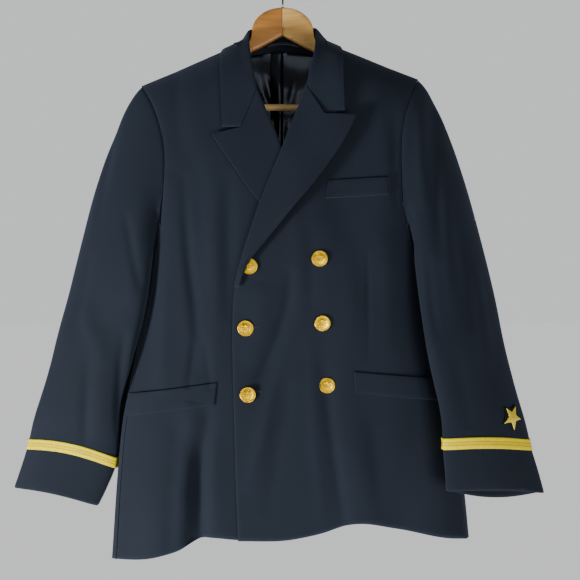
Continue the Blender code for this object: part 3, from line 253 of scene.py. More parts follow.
def finish_shader(tree, shader, colour, height, strength, distance):
    """Links the shader's colour, and a bump from the height."""
    tree.links.new(colour, shader.inputs["Base Color"])
    bump = node(tree, "ShaderNodeBump", [("Height", height)], Strength=strength, Distance=distance)
    tree.links.new(bump.outputs["Normal"], shader.inputs["Normal"])


SERGE_DARK = (0.0048, 0.0076, 0.0132)
SERGE_LIGHT = (0.0086, 0.0132, 0.0224)
SERGE_SHEEN = (0.55, 0.68, 0.95, 1.0)
TWILL_PITCH = 0.0011
WAVE_TO_PITCH = 0.31
TWILL_LEAN = math.radians(62)


def serge_material(name, dark, light):
    """A fine steep twill with a short nap, and a slow drift of its shade."""
    material, tree, shader = new_material(
        name, Roughness=0.86, Specular_IOR_Level=0.20, Sheen_Weight=0.12, Sheen_Roughness=0.45,
        Sheen_Tint=SERGE_SHEEN)
    place = node(tree, "ShaderNodeTexCoord")
    turned = node(tree, "ShaderNodeMapping", [("Vector", place.outputs["UV"])])
    turned.inputs["Rotation"].default_value = (0, 0, TWILL_LEAN)
    twill = node(tree, "ShaderNodeTexWave", [("Vector", turned.outputs["Vector"])],
                 Scale=WAVE_TO_PITCH / TWILL_PITCH, Distortion=1.4, Detail=1.0)
    nap = node(tree, "ShaderNodeTexNoise", [("Vector", place.outputs["UV"])],
               Scale=620.0, Detail=3.0, Roughness=0.6)
    drift = object_noise(tree, Scale=7.0, Detail=3.0, Roughness=0.55)
    threads = node(tree, "ShaderNodeMath", [(0, twill.outputs["Fac"]), (1, nap.outputs["Fac"])],
                   operation="ADD")
    mixed = node(tree, "ShaderNodeMath", [(0, threads.outputs[0]), (1, drift.outputs["Fac"])],
                 operation="ADD")
    third = node(tree, "ShaderNodeMath", [(0, mixed.outputs[0])], operation="MULTIPLY")
    third.inputs[1].default_value = 1 / 3
    colour = ramp(tree, third.outputs[0], [(0.32, dark), (0.68, light)])
    finish_shader(tree, shader, colour.outputs["Color"], threads.outputs[0], 0.35, 0.00025)
    return material


serge = serge_material("navy serge", SERGE_DARK, SERGE_LIGHT)

# Troughs (+) and ridges (-): half width and depth in millimetres, then the line's (x, z) points
BODY_CREASES = (
    # right front, chest and waist: a full ridge at the side, then the dart's hollow
    (16.0, -6.0, ((-176, -350), (-180, -455), (-183, -530), (-185, -600), (-188, -690))),
    (9.0, 5.4, ((-148, -350), (-146, -420), (-142, -480), (-134, -545), (-129, -610),
                (-130, -665))),
    (16.0, -3.4, ((-104, -340), (-103, -420), (-101, -520), (-101, -600), (-103, -680))),
    (5.0, 3.4, ((-134, -608), (-138, -640), (-145, -682))),
    (6.0, 2.0, ((-118, -600), (-114, -640), (-110, -685))),
    (12.0, 3.6, ((-80, -350), (-81, -430), (-81, -520), (-79, -580))),
    (12.0, 1.8, ((-162, -190), (-160, -250), (-154, -330))),
    (18.0, -1.8, ((-132, -200), (-130, -280), (-124, -350))),
    # right front, skirt: one deep fold under the flap
    (11.0, 9.0, ((-112, -708), (-116, -745), (-124, -785), (-128, -815), (-127, -870),
                 (-120, -990))),
    (15.0, -8.0, ((-136, -700), (-144, -760), (-152, -840), (-154, -900), (-154, -1000))),
    (14.0, -1.6, ((-106, -740), (-104, -820), (-100, -900))),
    # left front: the drag from the middle button and the soft folds beside it
    (9.5, 5.4, ((14, -495), (7, -560), (-9, -612), (-30, -658), (-46, -690))),
    (17.0, -3.2, ((-28, -520), (-34, -590), (-53, -640))),
    (11.0, -3.4, ((6, -600), (-11, -665), (-24, -725), (-39, -785), (-54, -840))),
    (13.0, 3.0, ((14, -670), (6, -710), (-4, -755), (-14, -810), (-26, -880))),
    (15.0, -2.0, ((18, -400), (24, -470), (28, -545))),
    (10.0, 1.8, ((42, -430), (43, -500), (43, -570))),
    # left front, skirt
    (11.0, -2.4, ((44, -590), (47, -695), (52, -770), (60, -845), (68, -920))),
    (9.0, 3.6, ((64, -640), (71, -710), (78, -770), (88, -845), (98, -910))),
    (20.0, -1.8, ((106, -675), (112, -785), (122, -875))),
    (12.0, 1.6, ((136, -720), (144, -800), (152, -880))),
    (20.0, -1.6, ((172, -700), (178, -800), (184, -880))),
    # left front, waist dart and chest
    (4.5, 1.6, ((129, -470), (131, -545), (132, -640))),
    (15.0, -1.8, ((154, -440), (159, -545), (162, -635))),
    (13.0, -1.4, ((102, -455), (105, -575), (106, -640))),
    (14.0, -2.0, ((147, -230), (153, -320), (159, -350))),
    (9.0, 2.2, ((174, -260), (171, -350), (177, -418))),
)
SEAM_REACH, SEAM_DEPTH = 7.0 * MM, 0.55 * MM
ARMHOLE_DEPTH, ARMHOLE_LOW, ARMHOLE_SIDE = 1.6 * MM, -0.43, 0.160
RIPPLE_SIZE, RIPPLE_HEIGHT = 0.055, 0.8 * MM
SWELL = 26.0 * MM
SWELL_Z = (-0.90, -0.80, -0.72, -0.68, -0.64, -0.60, -0.50)
SWELL_SHARE = (0.0, 0.80, 0.88, 1.0, 0.96, 0.75, 0.0)
SWELL_FRONT, SWELL_DEEP = -0.016, 0.012
SWELL_SIDE, SWELL_WIDE = 0.17, 0.05
LEAN_IN = 0.35


def smooth_step(share):
    share = np.clip(share, 0, 1)
    return share * share * (3 - 2 * share)


def body_push(points):
    """How far the front's cloth moves towards the back at each point."""
    return line_push(points, BODY_CREASES) + ripple(points, RIPPLE_SIZE, RIPPLE_HEIGHT)


def swell(points):
    """How much fuller the right side is behind the sleeve, so no daylight shows between them."""
    height = np.interp(points[:, 2], SWELL_Z, SWELL_SHARE)
    depth = smooth_step((points[:, 1] - SWELL_FRONT) / SWELL_DEEP)
    side = np.clip((-points[:, 0] - SWELL_SIDE) / SWELL_WIDE, 0, 1)
    return SWELL * height * depth * side


def drape_body(piece, push, facing):
    """Lays the folds into a body piece and rolls its cut edges in at the seams."""
    points = points_of(piece)
    points[:, 0] -= swell(points)
    points[:, 1] += push(points)
    away = rim_distance(piece, SEAM_REACH)
    by_armhole = (np.abs(points[:, 0]) > ARMHOLE_SIDE) & (points[:, 2] > ARMHOLE_LOW)
    depth = np.where(by_armhole, ARMHOLE_DEPTH, SEAM_DEPTH)
    points[:, 1] -= facing * depth * (1 - away / SEAM_REACH) ** 2
    set_points(piece, points)


BACK_CREASES = (
    # as on the front, seen from behind
    (22.0, 5.0, ((-70, -540), (-60, -680), (-70, -880))),
    (22.0, 5.0, ((80, -520), (72, -680), (84, -870))),
    (26.0, -4.0, ((-150, -480), (-150, -640), (-160, -840))),
    (26.0, -4.0, ((160, -460), (158, -640), (168, -840))),
    (18.0, -3.0, ((-36, -600), (-30, -720), (-34, -900))),
    (18.0, -3.0, ((38, -580), (34, -720), (40, -900))),
    (14.0, 3.5, ((-160, -205), (-124, -260), (-74, -310))),
    (14.0, 3.5, ((160, -200), (126, -255), (78, -305))),
    (12.0, 3.0, ((-186, -290), (-172, -360), (-140, -440))),
    (12.0, 3.0, ((190, -290), (176, -360), (144, -440))),
)
BACK_RIPPLE_SIZE, BACK_RIPPLE_HEIGHT = 0.08, 1.2 * MM
FRONT_SEAM_Y, SEAMS_APART = -0.038, 0.034


def back_push(points):
    """How far the back's cloth moves towards the back at each point."""
    swing = ripple(points, BACK_RIPPLE_SIZE, BACK_RIPPLE_HEIGHT)
    return swing - line_push(points, BACK_CREASES)


def side_push(points):
    """A side body follows the front at one seam and the back at the other."""
    share = np.clip((points[:, 1] - FRONT_SEAM_Y) / SEAMS_APART, 0, 1)
    return (1 - share) * body_push(points) + share * back_push(points)


FRONT, BACK = -1, 1
BODY_PANELS = (
    # node, name, push, facing, flat width and length, cut area, sewn to
    ("back_left", "left_back", back_push, BACK, (0.30, 0.82), 0.177, "back_right"),
    ("back_right", "right_back", back_push, BACK, (0.30, 0.83), 0.177, "back_left"),
    ("side_left", "left_side_body", side_push, BACK, (0.09, 0.53), 0.0241, "back_left"),
    ("side_right", "right_side_body", side_push, BACK, (0.09, 0.55), 0.0256, "back_right"),
    ("front_right", "right_front", body_push, FRONT, (0.39, 0.82), 0.206, "side_right"),
    ("front_left", "left_front", body_push, FRONT, (0.40, 0.81), 0.206, "side_left"),
)
panels = {}
for solid, name, push, facing, flat, area, sewn_to in BODY_PANELS:
    panel = cloth_copy(solid, name)
    drape_body(panel, push, facing)
    lean = LEAN_IN if solid.endswith("left") else -LEAN_IN
    map_cloth(panel, (1.0, lean, 0.0), (0.0, 0.0, 1.0))
    panels[solid] = panel
    dress(panel, serge, solid, "serge")

# Lining: black satin over the whole back, with a pressed ease pleat down its middle and a satin
# loop above it. It bags a little between its seams, so it catches the light in short soft folds.
satin, tree, shader = new_material(
    "black satin", Roughness=0.27, Specular_IOR_Level=0.9, Specular_Tint=(0.80, 0.88, 1.0, 1.0),
    Anisotropic=0.3)
place = node(tree, "ShaderNodeTexCoord")
ribs = node(tree, "ShaderNodeTexWave", [("Vector", place.outputs["UV"])],
            Scale=900.0, Distortion=0.6)
cloud = object_noise(tree, Scale=24.0, Detail=2.0)
shade = ramp(tree, cloud.outputs["Fac"], [
    (0.3, (0.0022, 0.0026, 0.0048)), (0.7, (0.005, 0.0062, 0.0105)),
])
finish_shader(tree, shader, shade.outputs["Color"], ribs.outputs["Fac"], 0.2, 0.0001)

LINING_CREASES = (
    # a soft bulge across the lining, and short folds round it; towards the front is negative
    (22.0, -8.0, ((-70, -172), (-44, -180), (-18, -190), (0, -202), (24, -204), (60, -196))),
    (12.0, -5.0, ((-12, -246), (6, -240), (30, -236), (50, -240))),
    (5.0, 3.0, ((-30, -178), (-22, -202), (-14, -228))),
    (5.0, -3.0, ((-44, -196), (-32, -210), (-22, -232))),
    (5.0, 3.0, ((22, -190), (14, -214), (8, -236))),
    (6.0, -3.5, ((2, -300), (8, -276), (14, -250))),
    (5.0, 3.0, ((-20, -300), (-14, -270), (-12, -244))),
    (9.0, -3.0, ((-60, -280), (-40, -330), (-36, -400))),
    (9.0, -3.0, ((50, -280), (36, -340), (38, -420))),
)
LINING_RIPPLE_SIZE, LINING_RIPPLE_HEIGHT = 0.03, 1.6 * MM
LINING_FOLLOWS_BACK = 1.15
lining = cloth_copy("back_lining", "satin_back_lining")
points = points_of(lining)
billow = np.minimum(0, ripple(points, LINING_RIPPLE_SIZE, LINING_RIPPLE_HEIGHT))
points[:, 1] += line_push(points, LINING_CREASES) + billow
points[:, 1] += LINING_FOLLOWS_BACK * np.minimum(0, back_push(points))
set_points(lining, points)
map_cloth(lining, (1, 0, 0), (0, 0, 1))
dress(lining, satin, "back_lining", "satin")

loop = cloth_copy("hanging_loop", "satin_loop")
map_cloth(loop, (1, 0, 0), (0, 0, 1))
dress(loop, satin, "hanging_loop", "satin")

# Pockets: a welt at the left chest and a flap at each hip, of the same serge. They lie flat on
# the fronts and follow their folds.
POCKETS = (
    # node, name, flat width and length, cut area, lies on
    ("breast_welt", "chest_welt", (0.10, 0.030), 0.0028, "left_front"),
    ("pocket_flap_right", "right_hip_flap", (0.156, 0.038), 0.0053, "right_front"),
    ("pocket_flap_left", "left_hip_flap", (0.158, 0.038), 0.0054, "left_front"),
)
for solid, name, flat, area, under in POCKETS:
    pocket = cloth_copy(solid, name)
    drape_body(pocket, body_push, FRONT)
    map_cloth(pocket, (1, 0, 0), (0, 0, 1))
    dress(pocket, serge, solid, "serge")

# Stitching: short dark threads set end to end. A row runs along each edge that is picked by hand,
# and close rows go round the buttonholes, after the pieces that they lie on.
stitch_thread, tree, shader = new_material("stitching thread", Roughness=0.55)
strand = object_noise(tree, Scale=900.0)
shade = ramp(tree, strand.outputs["Fac"], [
    (0.3, (0.009, 0.012, 0.018)), (0.7, (0.018, 0.023, 0.034)),
])
tree.links.new(shade.outputs["Color"], shader.inputs["Base Color"])


def stitch_tree():
    """Short threads set end to end along a path: pitch, length and thickness are its inputs."""
    group = bpy.data.node_groups.new("row of stitches", "GeometryNodeTree")
    face = group.interface
    face.new_socket("Path", in_out="INPUT", socket_type="NodeSocketGeometry")
    for label, value in (("Pitch", 0.0032), ("Stitch length", 0.0022), ("Thread radius", 0.00022)):
        face.new_socket(label, in_out="INPUT", socket_type="NodeSocketFloat").default_value = value
    face.new_socket("Thread", in_out="INPUT", socket_type="NodeSocketMaterial")
    face.new_socket("Stitches", in_out="OUTPUT", socket_type="NodeSocketGeometry")
    make, link = group.nodes.new, group.links.new
    inlet, outlet = make("NodeGroupInput"), make("NodeGroupOutput")
    spots = make("GeometryNodeCurveToPoints")
    spots.mode = "LENGTH"
    link(inlet.outputs["Path"], spots.inputs["Curve"])
    link(inlet.outputs["Pitch"], spots.inputs["Length"])
    thread = make("GeometryNodeMeshCylinder")
    thread.inputs["Vertices"].default_value = 6
    link(inlet.outputs["Thread radius"], thread.inputs["Radius"])
    link(inlet.outputs["Stitch length"], thread.inputs["Depth"])
    copies = make("GeometryNodeInstanceOnPoints")
    link(spots.outputs["Points"], copies.inputs["Points"])
    link(thread.outputs["Mesh"], copies.inputs["Instance"])
    aim = make("FunctionNodeAlignRotationToVector")
    aim.axis = "Z"
    link(spots.outputs["Tangent"], aim.inputs["Vector"])
    link(aim.outputs["Rotation"], copies.inputs["Rotation"])
    real = make("GeometryNodeRealizeInstances")
    link(copies.outputs["Instances"], real.inputs["Geometry"])
    painted = make("GeometryNodeSetMaterial")
    link(real.outputs["Geometry"], painted.inputs["Geometry"])
    link(inlet.outputs["Thread"], painted.inputs["Material"])
    link(painted.outputs["Geometry"], outlet.inputs["Stitches"])
    return group


row_of_stitches = stitch_tree()


def set_input(modifier, label, value):
    for item in modifier.node_group.interface.items_tree:
        if item.item_type == "SOCKET" and item.in_out == "INPUT" and item.name == label:
            modifier[item.identifier] = value


def baked(piece):
    """Turns the piece's live modifiers into a plain mesh."""
    mesh = evaluated_mesh(piece)
    made = add_object(piece.name + "_made", mesh)
    name = piece.name
    bpy.data.objects.remove(piece)
    made.name = mesh.name = name
    return made


def stitched(name, paths, material, slot_name, **sizes):
    """Stitches along paths of points in metres, as one plain mesh."""
    line = bpy.data.curves.new(name, "CURVE")
    line.dimensions = "3D"
    for path in paths:
        spline = line.splines.new("POLY")
        spline.points.add(len(path) - 1)
        for spot, point in zip(spline.points, path):
            spot.co = (*point, 1.0)
    piece = add_object(name, line)
    grow = piece.modifiers.new("stitches", "NODES")
    grow.node_group = row_of_stitches
    set_input(grow, "Thread", material)
    for label, value in sizes.items():
        set_input(grow, label.replace("_", " "), value)
    piece = baked(piece)
    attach(piece, "root")


def front_of(piece):
    """A tree of the piece's faces, for finding the cloth's front at a place."""
    mesh = piece.data
    return BVHTree.FromPolygons([v.co for v in mesh.vertices], [p.vertices for p in mesh.polygons])


AHEAD_Y = -0.4


def on_front(tree, line, lift, step=4.0):
    """Points at each step along a line of (x, z) in millimetres, lifted off the cloth."""
    path = []
    for (x0, z0), (x1, z1) in zip(line[:-1], line[1:]):
        count = max(1, int(math.hypot(x1 - x0, z1 - z0) / step))
        for k in range(count + 1):
            x, z = x0 + (x1 - x0) * k / count, z0 + (z1 - z0) * k / count
            hit = tree.ray_cast(Vector((x * MM, AHEAD_Y, z * MM)), Vector((0, 1, 0)))[0]
            if hit is not None:
                path.append((hit.x, hit.y - lift, hit.z))
    return path


# Lapels and collar: the facing turned back along each roll line into a broad peaked lapel, and the
# collar with its stand and fall round the neck. Their edges are pressed sharp and picked by hand.
LAPELS = (
    # node, name, flat width and length, cut area, lies on,
    # the roll line's top and foot (x, z) and the lift at the edge, in millimetres
    ("lapel_right", "right_lapel", (0.10, 0.33), 0.0171, "right_front",
     (-37, -228), (8, -316), 1.6),
    ("lapel_left", "left_lapel", (0.10, 0.33), 0.0178, "left_front",
     (12, -286), (-59, -478), 9.0),
)
LIFT_WIDTH, LIFT_HIGH, LIFT_LOW = 70.0 * MM, -0.40, -0.50
LAPEL_ACROSS, LAPEL_ALONG = (0.92, 0, 0.38), (-0.38, 0, 0.92)
lapels = {}
for solid, name, flat, area, under, roll_top, roll_foot, lift in LAPELS:
    lapel = cloth_copy(solid, name)
    points = points_of(lapel)
    top, foot = np.array(roll_top, float) * MM, np.array(roll_foot, float) * MM
    along = (foot - top) / np.linalg.norm(foot - top)
    aside = np.abs((points[:, 0] - top[0]) * along[1] - (points[:, 2] - top[1]) * along[0])
    fade = smooth_step((points[:, 2] - LIFT_LOW) / (LIFT_HIGH - LIFT_LOW))
    points[:, 1] -= lift * MM * smooth_step(aside / LIFT_WIDTH) * fade
    points[:, 1] += body_push(points)
    set_points(lapel, points)
    map_cloth(lapel, LAPEL_ACROSS, LAPEL_ALONG)
    lapels[solid] = lapel
    dress(lapel, serge, solid, "serge")

LEAF_FOLD, LEAF_WIDTH, LEAF_LIFT, LEAF_RIGHT = 50.0 * MM, 42.0 * MM, 7.5 * MM, 0.25
LEAF_Y, LEAF_DEEP = -0.045, 0.02
SETTLE_Z, SETTLE_TALL = -0.170, 0.060
collar = cloth_copy("collar", "collar_and_stand")
points = points_of(collar)
settle = np.clip((SETTLE_Z - points[:, 2]) / SETTLE_TALL, 0, 1)
points[:, 1] += body_push(points) * settle
leaf = smooth_step((points[:, 0] - LEAF_FOLD) / LEAF_WIDTH)
leaf += smooth_step((-points[:, 0] - LEAF_FOLD) / LEAF_WIDTH) * LEAF_RIGHT
in_front = np.clip((LEAF_Y - points[:, 1]) / LEAF_DEEP, 0, 1)
points[:, 1] -= LEAF_LIFT * leaf * in_front
set_points(collar, points)
map_cloth(collar, (1, 0.4, 0), (0, 0, 1))
dress(collar, serge, "collar", "serge")


def inset(line, by):
    """The line moved sideways by so many millimetres, to the left of the way it runs."""
    line = np.array(line, float)
    headings = np.gradient(line, axis=0)
    headings /= np.linalg.norm(headings, axis=1)[:, None]
    return [tuple(p) for p in line + by * np.stack([-headings[:, 1], headings[:, 0]], axis=1)]


# Each edge is a line of (x, z) in millimetres, with the cloth on its left
LAPEL_EDGE = ((-54, -492), (-32, -464), (-3, -430), (27, -398), (56, -362), (85, -319), (105, -276))
COLLAR_LEFT_EDGE = ((90, -262), (90, -240), (89, -200), (86, -172))
FRONT_EDGE = ((-69, -900), (-71, -820), (-73, -720), (-74, -620), (-75, -545))
EDGE_STITCH_INSET, STITCH_LIFT = 4.0, 0.15 * MM
EDGES = (
    # name, piece, edge
    ("lapel_edge_stitches", lapels["lapel_left"], LAPEL_EDGE),
    ("collar_edge_stitches", collar, COLLAR_LEFT_EDGE),
    ("front_edge_stitches", panels["front_left"], FRONT_EDGE),
)
for name, piece, edge in EDGES:
    row = on_front(front_of(piece), inset(edge, EDGE_STITCH_INSET), STITCH_LIFT)
    stitched(name, [row], stitch_thread, "serge", Pitch=0.0034, Stitch_length=0.0022,
             Thread_radius=0.00022)

# Sleeves: a top and an under sleeve each, sewn into a tube and set into the armhole with a little
# fullness at its head. They hang from the shoulder with soft folds at the elbow.
SLEEVE_AXIS = {
    # z, x, y along the middle of each sleeve
    "left": ((-200, 218, -14), (-330, 236, -24), (-456, 258, -32), (-665, 296, -46),
             (-860, 335, -58)),
    "right": ((-200, -216, -14), (-330, -236, -22), (-450, -257, -28), (-670, -303, -22),
              (-880, -366, -10)),
}
SLEEVE_CREASES = {
    # on the front (-1) or the back (1) of the sleeve, then as for the body
    "left": (
        (-1, (9.0, -3.4, ((211, -240), (210, -334), (214, -409)))),
        (-1, (11.0, 5.2, ((234, -220), (234, -318), (236, -390), (242, -480)))),
        (-1, (11.0, -3.0, ((244, -364), (250, -470), (256, -560)))),
        (-1, (11.0, 3.4, ((271, -432), (280, -515), (290, -590)))),
        (-1, (12.0, -2.4, ((299, -485), (308, -575), (317, -651)))),
        (-1, (8.0, 2.8, ((220, -477), (223, -545), (232, -605)))),
        (-1, (14.0, 2.2, ((262, -620), (272, -690), (280, -740)))),
        (1, (12.0, 4.0, ((240, -490), (290, -540), (335, -545)))),
        (1, (12.0, 3.4, ((250, -560), (296, -610), (345, -612)))),
        (1, (14.0, -3.0, ((262, -620), (280, -700), (300, -800)))),
    ),
    "right": (
        (-1, (14.0, -2.6, ((-213, -379), (-221, -470), (-233, -560)))),
        (-1, (7.0, 3.4, ((-240, -410), (-231, -450), (-224, -488), (-216, -530)))),
        (-1, (9.0, 6.0, ((-240, -590), (-247, -640), (-252, -700), (-258, -780)))),
        (-1, (16.0, -3.4, ((-275, -585), (-284, -696), (-290, -766)))),
        (-1, (14.0, -2.4, ((-313, -545), (-290, -605), (-275, -650)))),
        (-1, (9.0, 2.8, ((-300, -640), (-306, -720), (-312, -790)))),
        (-1, (12.0, 2.4, ((-262, -240), (-276, -340), (-290, -430)))),
        (-1, (12.0, 2.2, ((-300, -470), (-312, -540), (-330, -610)))),
        (1, (12.0, 4.0, ((-240, -490), (-290, -540), (-335, -545)))),
        (1, (12.0, 3.4, ((-250, -575), (-300, -625), (-350, -628)))),
        (1, (14.0, -3.0, ((-280, -640), (-305, -720), (-330, -820)))),
    ),
}
SLEEVE_FLATNESS, SLEEVE_LEAN = 0.35, 0.3
SLEEVE_RIPPLE_SIZE = 0.05
SIDE_BLEND = 14 * MM


def sleeve_frame(points, word):
    """The direction out of the sleeve at each point, and how far it lies behind the axis."""
    table = np.array(SLEEVE_AXIS[word], float)[::-1] * MM
    x = np.interp(points[:, 2], table[:, 0], table[:, 1])
    y = np.interp(points[:, 2], table[:, 0], table[:, 2])
    behind = points[:, 1] - y
    out = np.stack([(points[:, 0] - x) * SLEEVE_FLATNESS, behind, np.zeros(len(points))], axis=1)
    return out / np.maximum(np.linalg.norm(out, axis=1), 1e-6)[:, None], behind


def sleeve_push(points, word):
    """The step that the sleeve's folds move each point by."""
    out, behind = sleeve_frame(points, word)
    depth = np.zeros(len(points))
    for side, crease in SLEEVE_CREASES[word]:
        facing = np.clip(0.5 + side * behind / SIDE_BLEND, 0, 1)
        depth += line_push(points, (crease,)) * facing
    depth += ripple(points, SLEEVE_RIPPLE_SIZE, RIPPLE_HEIGHT)
    return -out * depth[:, None]


SLEEVES = (
    # node, name, side, flat width and length, cut area, sewn to
    ("undersleeve_left", "left_under_sleeve", "left", (0.15, 0.64), 0.0704, "left_top_sleeve"),
    ("undersleeve_right", "right_under_sleeve", "right", (0.15, 0.64), 0.0683, "right_top_sleeve"),
    ("topsleeve_left", "left_top_sleeve", "left", (0.25, 0.69), 0.1224, "left_front"),
    ("topsleeve_right", "right_top_sleeve", "right", (0.25, 0.68), 0.1223, "right_front"),
)
SLEEVE_LINE = {"left": (0.18, 0.0, -0.98), "right": (-0.22, 0.0, -0.975)}
for solid, name, word, flat, area, sewn_to in SLEEVES:
    sleeve = cloth_copy(solid, name)
    points = points_of(sleeve)
    out, _ = sleeve_frame(points, word)
    away = rim_distance(sleeve, SEAM_REACH)
    points += sleeve_push(points, word)
    depth = np.where(points[:, 2] > ARMHOLE_LOW, ARMHOLE_DEPTH, SEAM_DEPTH)
    points -= out * (depth * (1 - away / SEAM_REACH) ** 2)[:, None]
    set_points(sleeve, points)
    along = SLEEVE_LINE[word]
    map_cloth(sleeve, (-along[2], SLEEVE_LEAN, along[0]), along)
    dress(sleeve, serge, solid, "serge")

# Cuff braid: one band of flat gold lace sewn round each cuff. Its two edges are bright, and its
# middle is woven in a redder gold between two thin dark lines.
lace, tree, shader = new_material(
    "gold lace", Roughness=0.55, Specular_IOR_Level=0.25, Specular_Tint=(1.0, 0.80, 0.20, 1.0))
place = node(tree, "ShaderNodeTexCoord")
split = node(tree, "ShaderNodeSeparateXYZ", [("Vector", place.outputs["UV"])])
band = ramp(tree, split.outputs["Y"], [
    (0.0, (0.70, 0.52, 0.010)), (0.08, (1.0, 0.82, 0.004)), (0.30, (1.0, 0.80, 0.004)),
    (0.36, (0.54, 0.35, 0.004)), (0.42, (0.94, 0.67, 0.004)), (0.58, (0.94, 0.67, 0.004)),
    (0.64, (0.54, 0.35, 0.004)), (0.70, (1.0, 0.80, 0.004)), (0.92, (1.0, 0.82, 0.004)),
    (1.0, (0.70, 0.52, 0.010)),
])
weft = node(tree, "ShaderNodeTexWave", [("Vector", place.outputs["UV"])],
            bands_direction="DIAGONAL", Scale=260.0, Distortion=2.0, Detail=2.0)
glint = object_noise(tree, Scale=420.0, Detail=2.0)
shade = ramp(tree, glint.outputs["Fac"], [(0.3, (0.86, 0.82, 0.70)), (0.6, (1.0, 1.0, 1.0))])
tinted = node(tree, "ShaderNodeMix", data_type="RGBA", blend_type="MULTIPLY")
tinted.inputs["Factor"].default_value = 1.0
tree.links.new(band.outputs["Color"], tinted.inputs["A"])
tree.links.new(shade.outputs["Color"], tinted.inputs["B"])
finish_shader(tree, shader, tinted.outputs["Result"], weft.outputs["Fac"], 0.6, 0.0003)

BRAID_EDGE_MIN = 5.0 * MM


def braid_height(word):
    """Marks a point of the band 1 on its upper edge and 0 on its lower edge."""
    down = Vector(SLEEVE_LINE[word]).normalized()

    def mark(point):
        steps = [edge.other_vert(point).co - point.co for edge in point.link_edges]
        steps = [step for step in steps if step.length > BRAID_EDGE_MIN]
        across_band = max(steps, key=lambda step: abs(step.normalized().dot(down)))
        return 1.0 if across_band.dot(down) > 0 else 0.0

    return mark


BRAID_LEAN = 0.4
for word, flat, area in (("left", (0.34, 0.020), 0.0067), ("right", (0.30, 0.020), 0.0058)):
    solid = "cuff_braid_" + word
    braid = cloth_copy(solid, "gold_braid_" + word, mark=braid_height(word))
    points = points_of(braid)
    share = np.empty(len(points))
    braid.data.attributes["mark"].data.foreach_get("value", share)
    set_map(braid, points[:, 0] + BRAID_LEAN * points[:, 1], share)
    set_points(braid, points + sleeve_push(points, word))
    dress(braid, lace, solid, "gold_lace")

# Stars: five plain points worked in gold thread over a padded shape, on a patch of dark cloth that
# is sewn to the sleeve above the braid.
patch_cloth = serge_material("patch cloth", (0.0016, 0.0018, 0.0028), (0.0034, 0.0040, 0.0058))
gold_thread, tree, shader = new_material("gold thread", Roughness=0.36, Metallic=0.20)
place = node(tree, "ShaderNodeTexCoord")
satin_stitch = node(tree, "ShaderNodeTexWave", [("Vector", place.outputs["Object"])],
                    Scale=560.0, Distortion=1.5, Detail=1.0)
shade = ramp(tree, satin_stitch.outputs["Fac"], [
    (0.2, (0.60, 0.38, 0.006)), (0.75, (1.0, 0.82, 0.060)),
])
finish_shader(tree, shader, shade.outputs["Color"], satin_stitch.outputs["Fac"], 0.7, 0.0003)

for word in ("left", "right"):
    for solid, name, material, slot_name in (
        ("star_patch_" + word, "star_patch_cloth_" + word, patch_cloth, "serge"),
        ("star_" + word, "gold_star_" + word, gold_thread, "gold_thread"),
    ):
        star = cloth_copy(solid, name)
        points = points_of(star)
        set_points(star, points + sleeve_push(points, word))
        map_cloth(star, (1, 0.3, 0), (0, 0, 1))
        dress(star, material, solid, slot_name)

# Buttons: six gilt metal buttons with a shank, a rope rim, a ring of beads and a plain rosette of
# petals. They are stamped in one piece and polished, and the gilt is a little uneven in its tone.
gilt, tree, shader = new_material("gilt brass", Metallic=1.0, Roughness=0.30)
cloud = object_noise(tree, Scale=260.0, Detail=3.0)
shade = ramp(tree, cloud.outputs["Fac"], [(0.3, (0.66, 0.35, 0.005)), (0.7, (0.98, 0.66, 0.018))])
scratch = object_noise(tree, Scale=1500.0)
finish_shader(tree, shader, shade.outputs["Color"], scratch.outputs["Fac"], 0.15, 0.0001)

ROPE_RADIUS, ROPE_BEADS = 11.0, 30
RING_RADIUS, RING_BEADS = 8.2, 24
PETAL_RADIUS, PETALS = 4.3, 8
DISC_PROFILE = (
    # radius and height in millimetres, from the middle of the back to the middle of the front
    (0.0, 0.4), (2.5, 0.4), (2.6, 1.4), (9.0, 1.5), (11.2, 1.7), (11.9, 2.2), (12.0, 2.8),
    (11.7, 3.2), (10.6, 3.2), (9.6, 3.0), (8.2, 3.3), (6.0, 3.7), (3.0, 4.0), (1.2, 4.1),
    (0.0, 4.1),
)
DISC_SIDES = 48


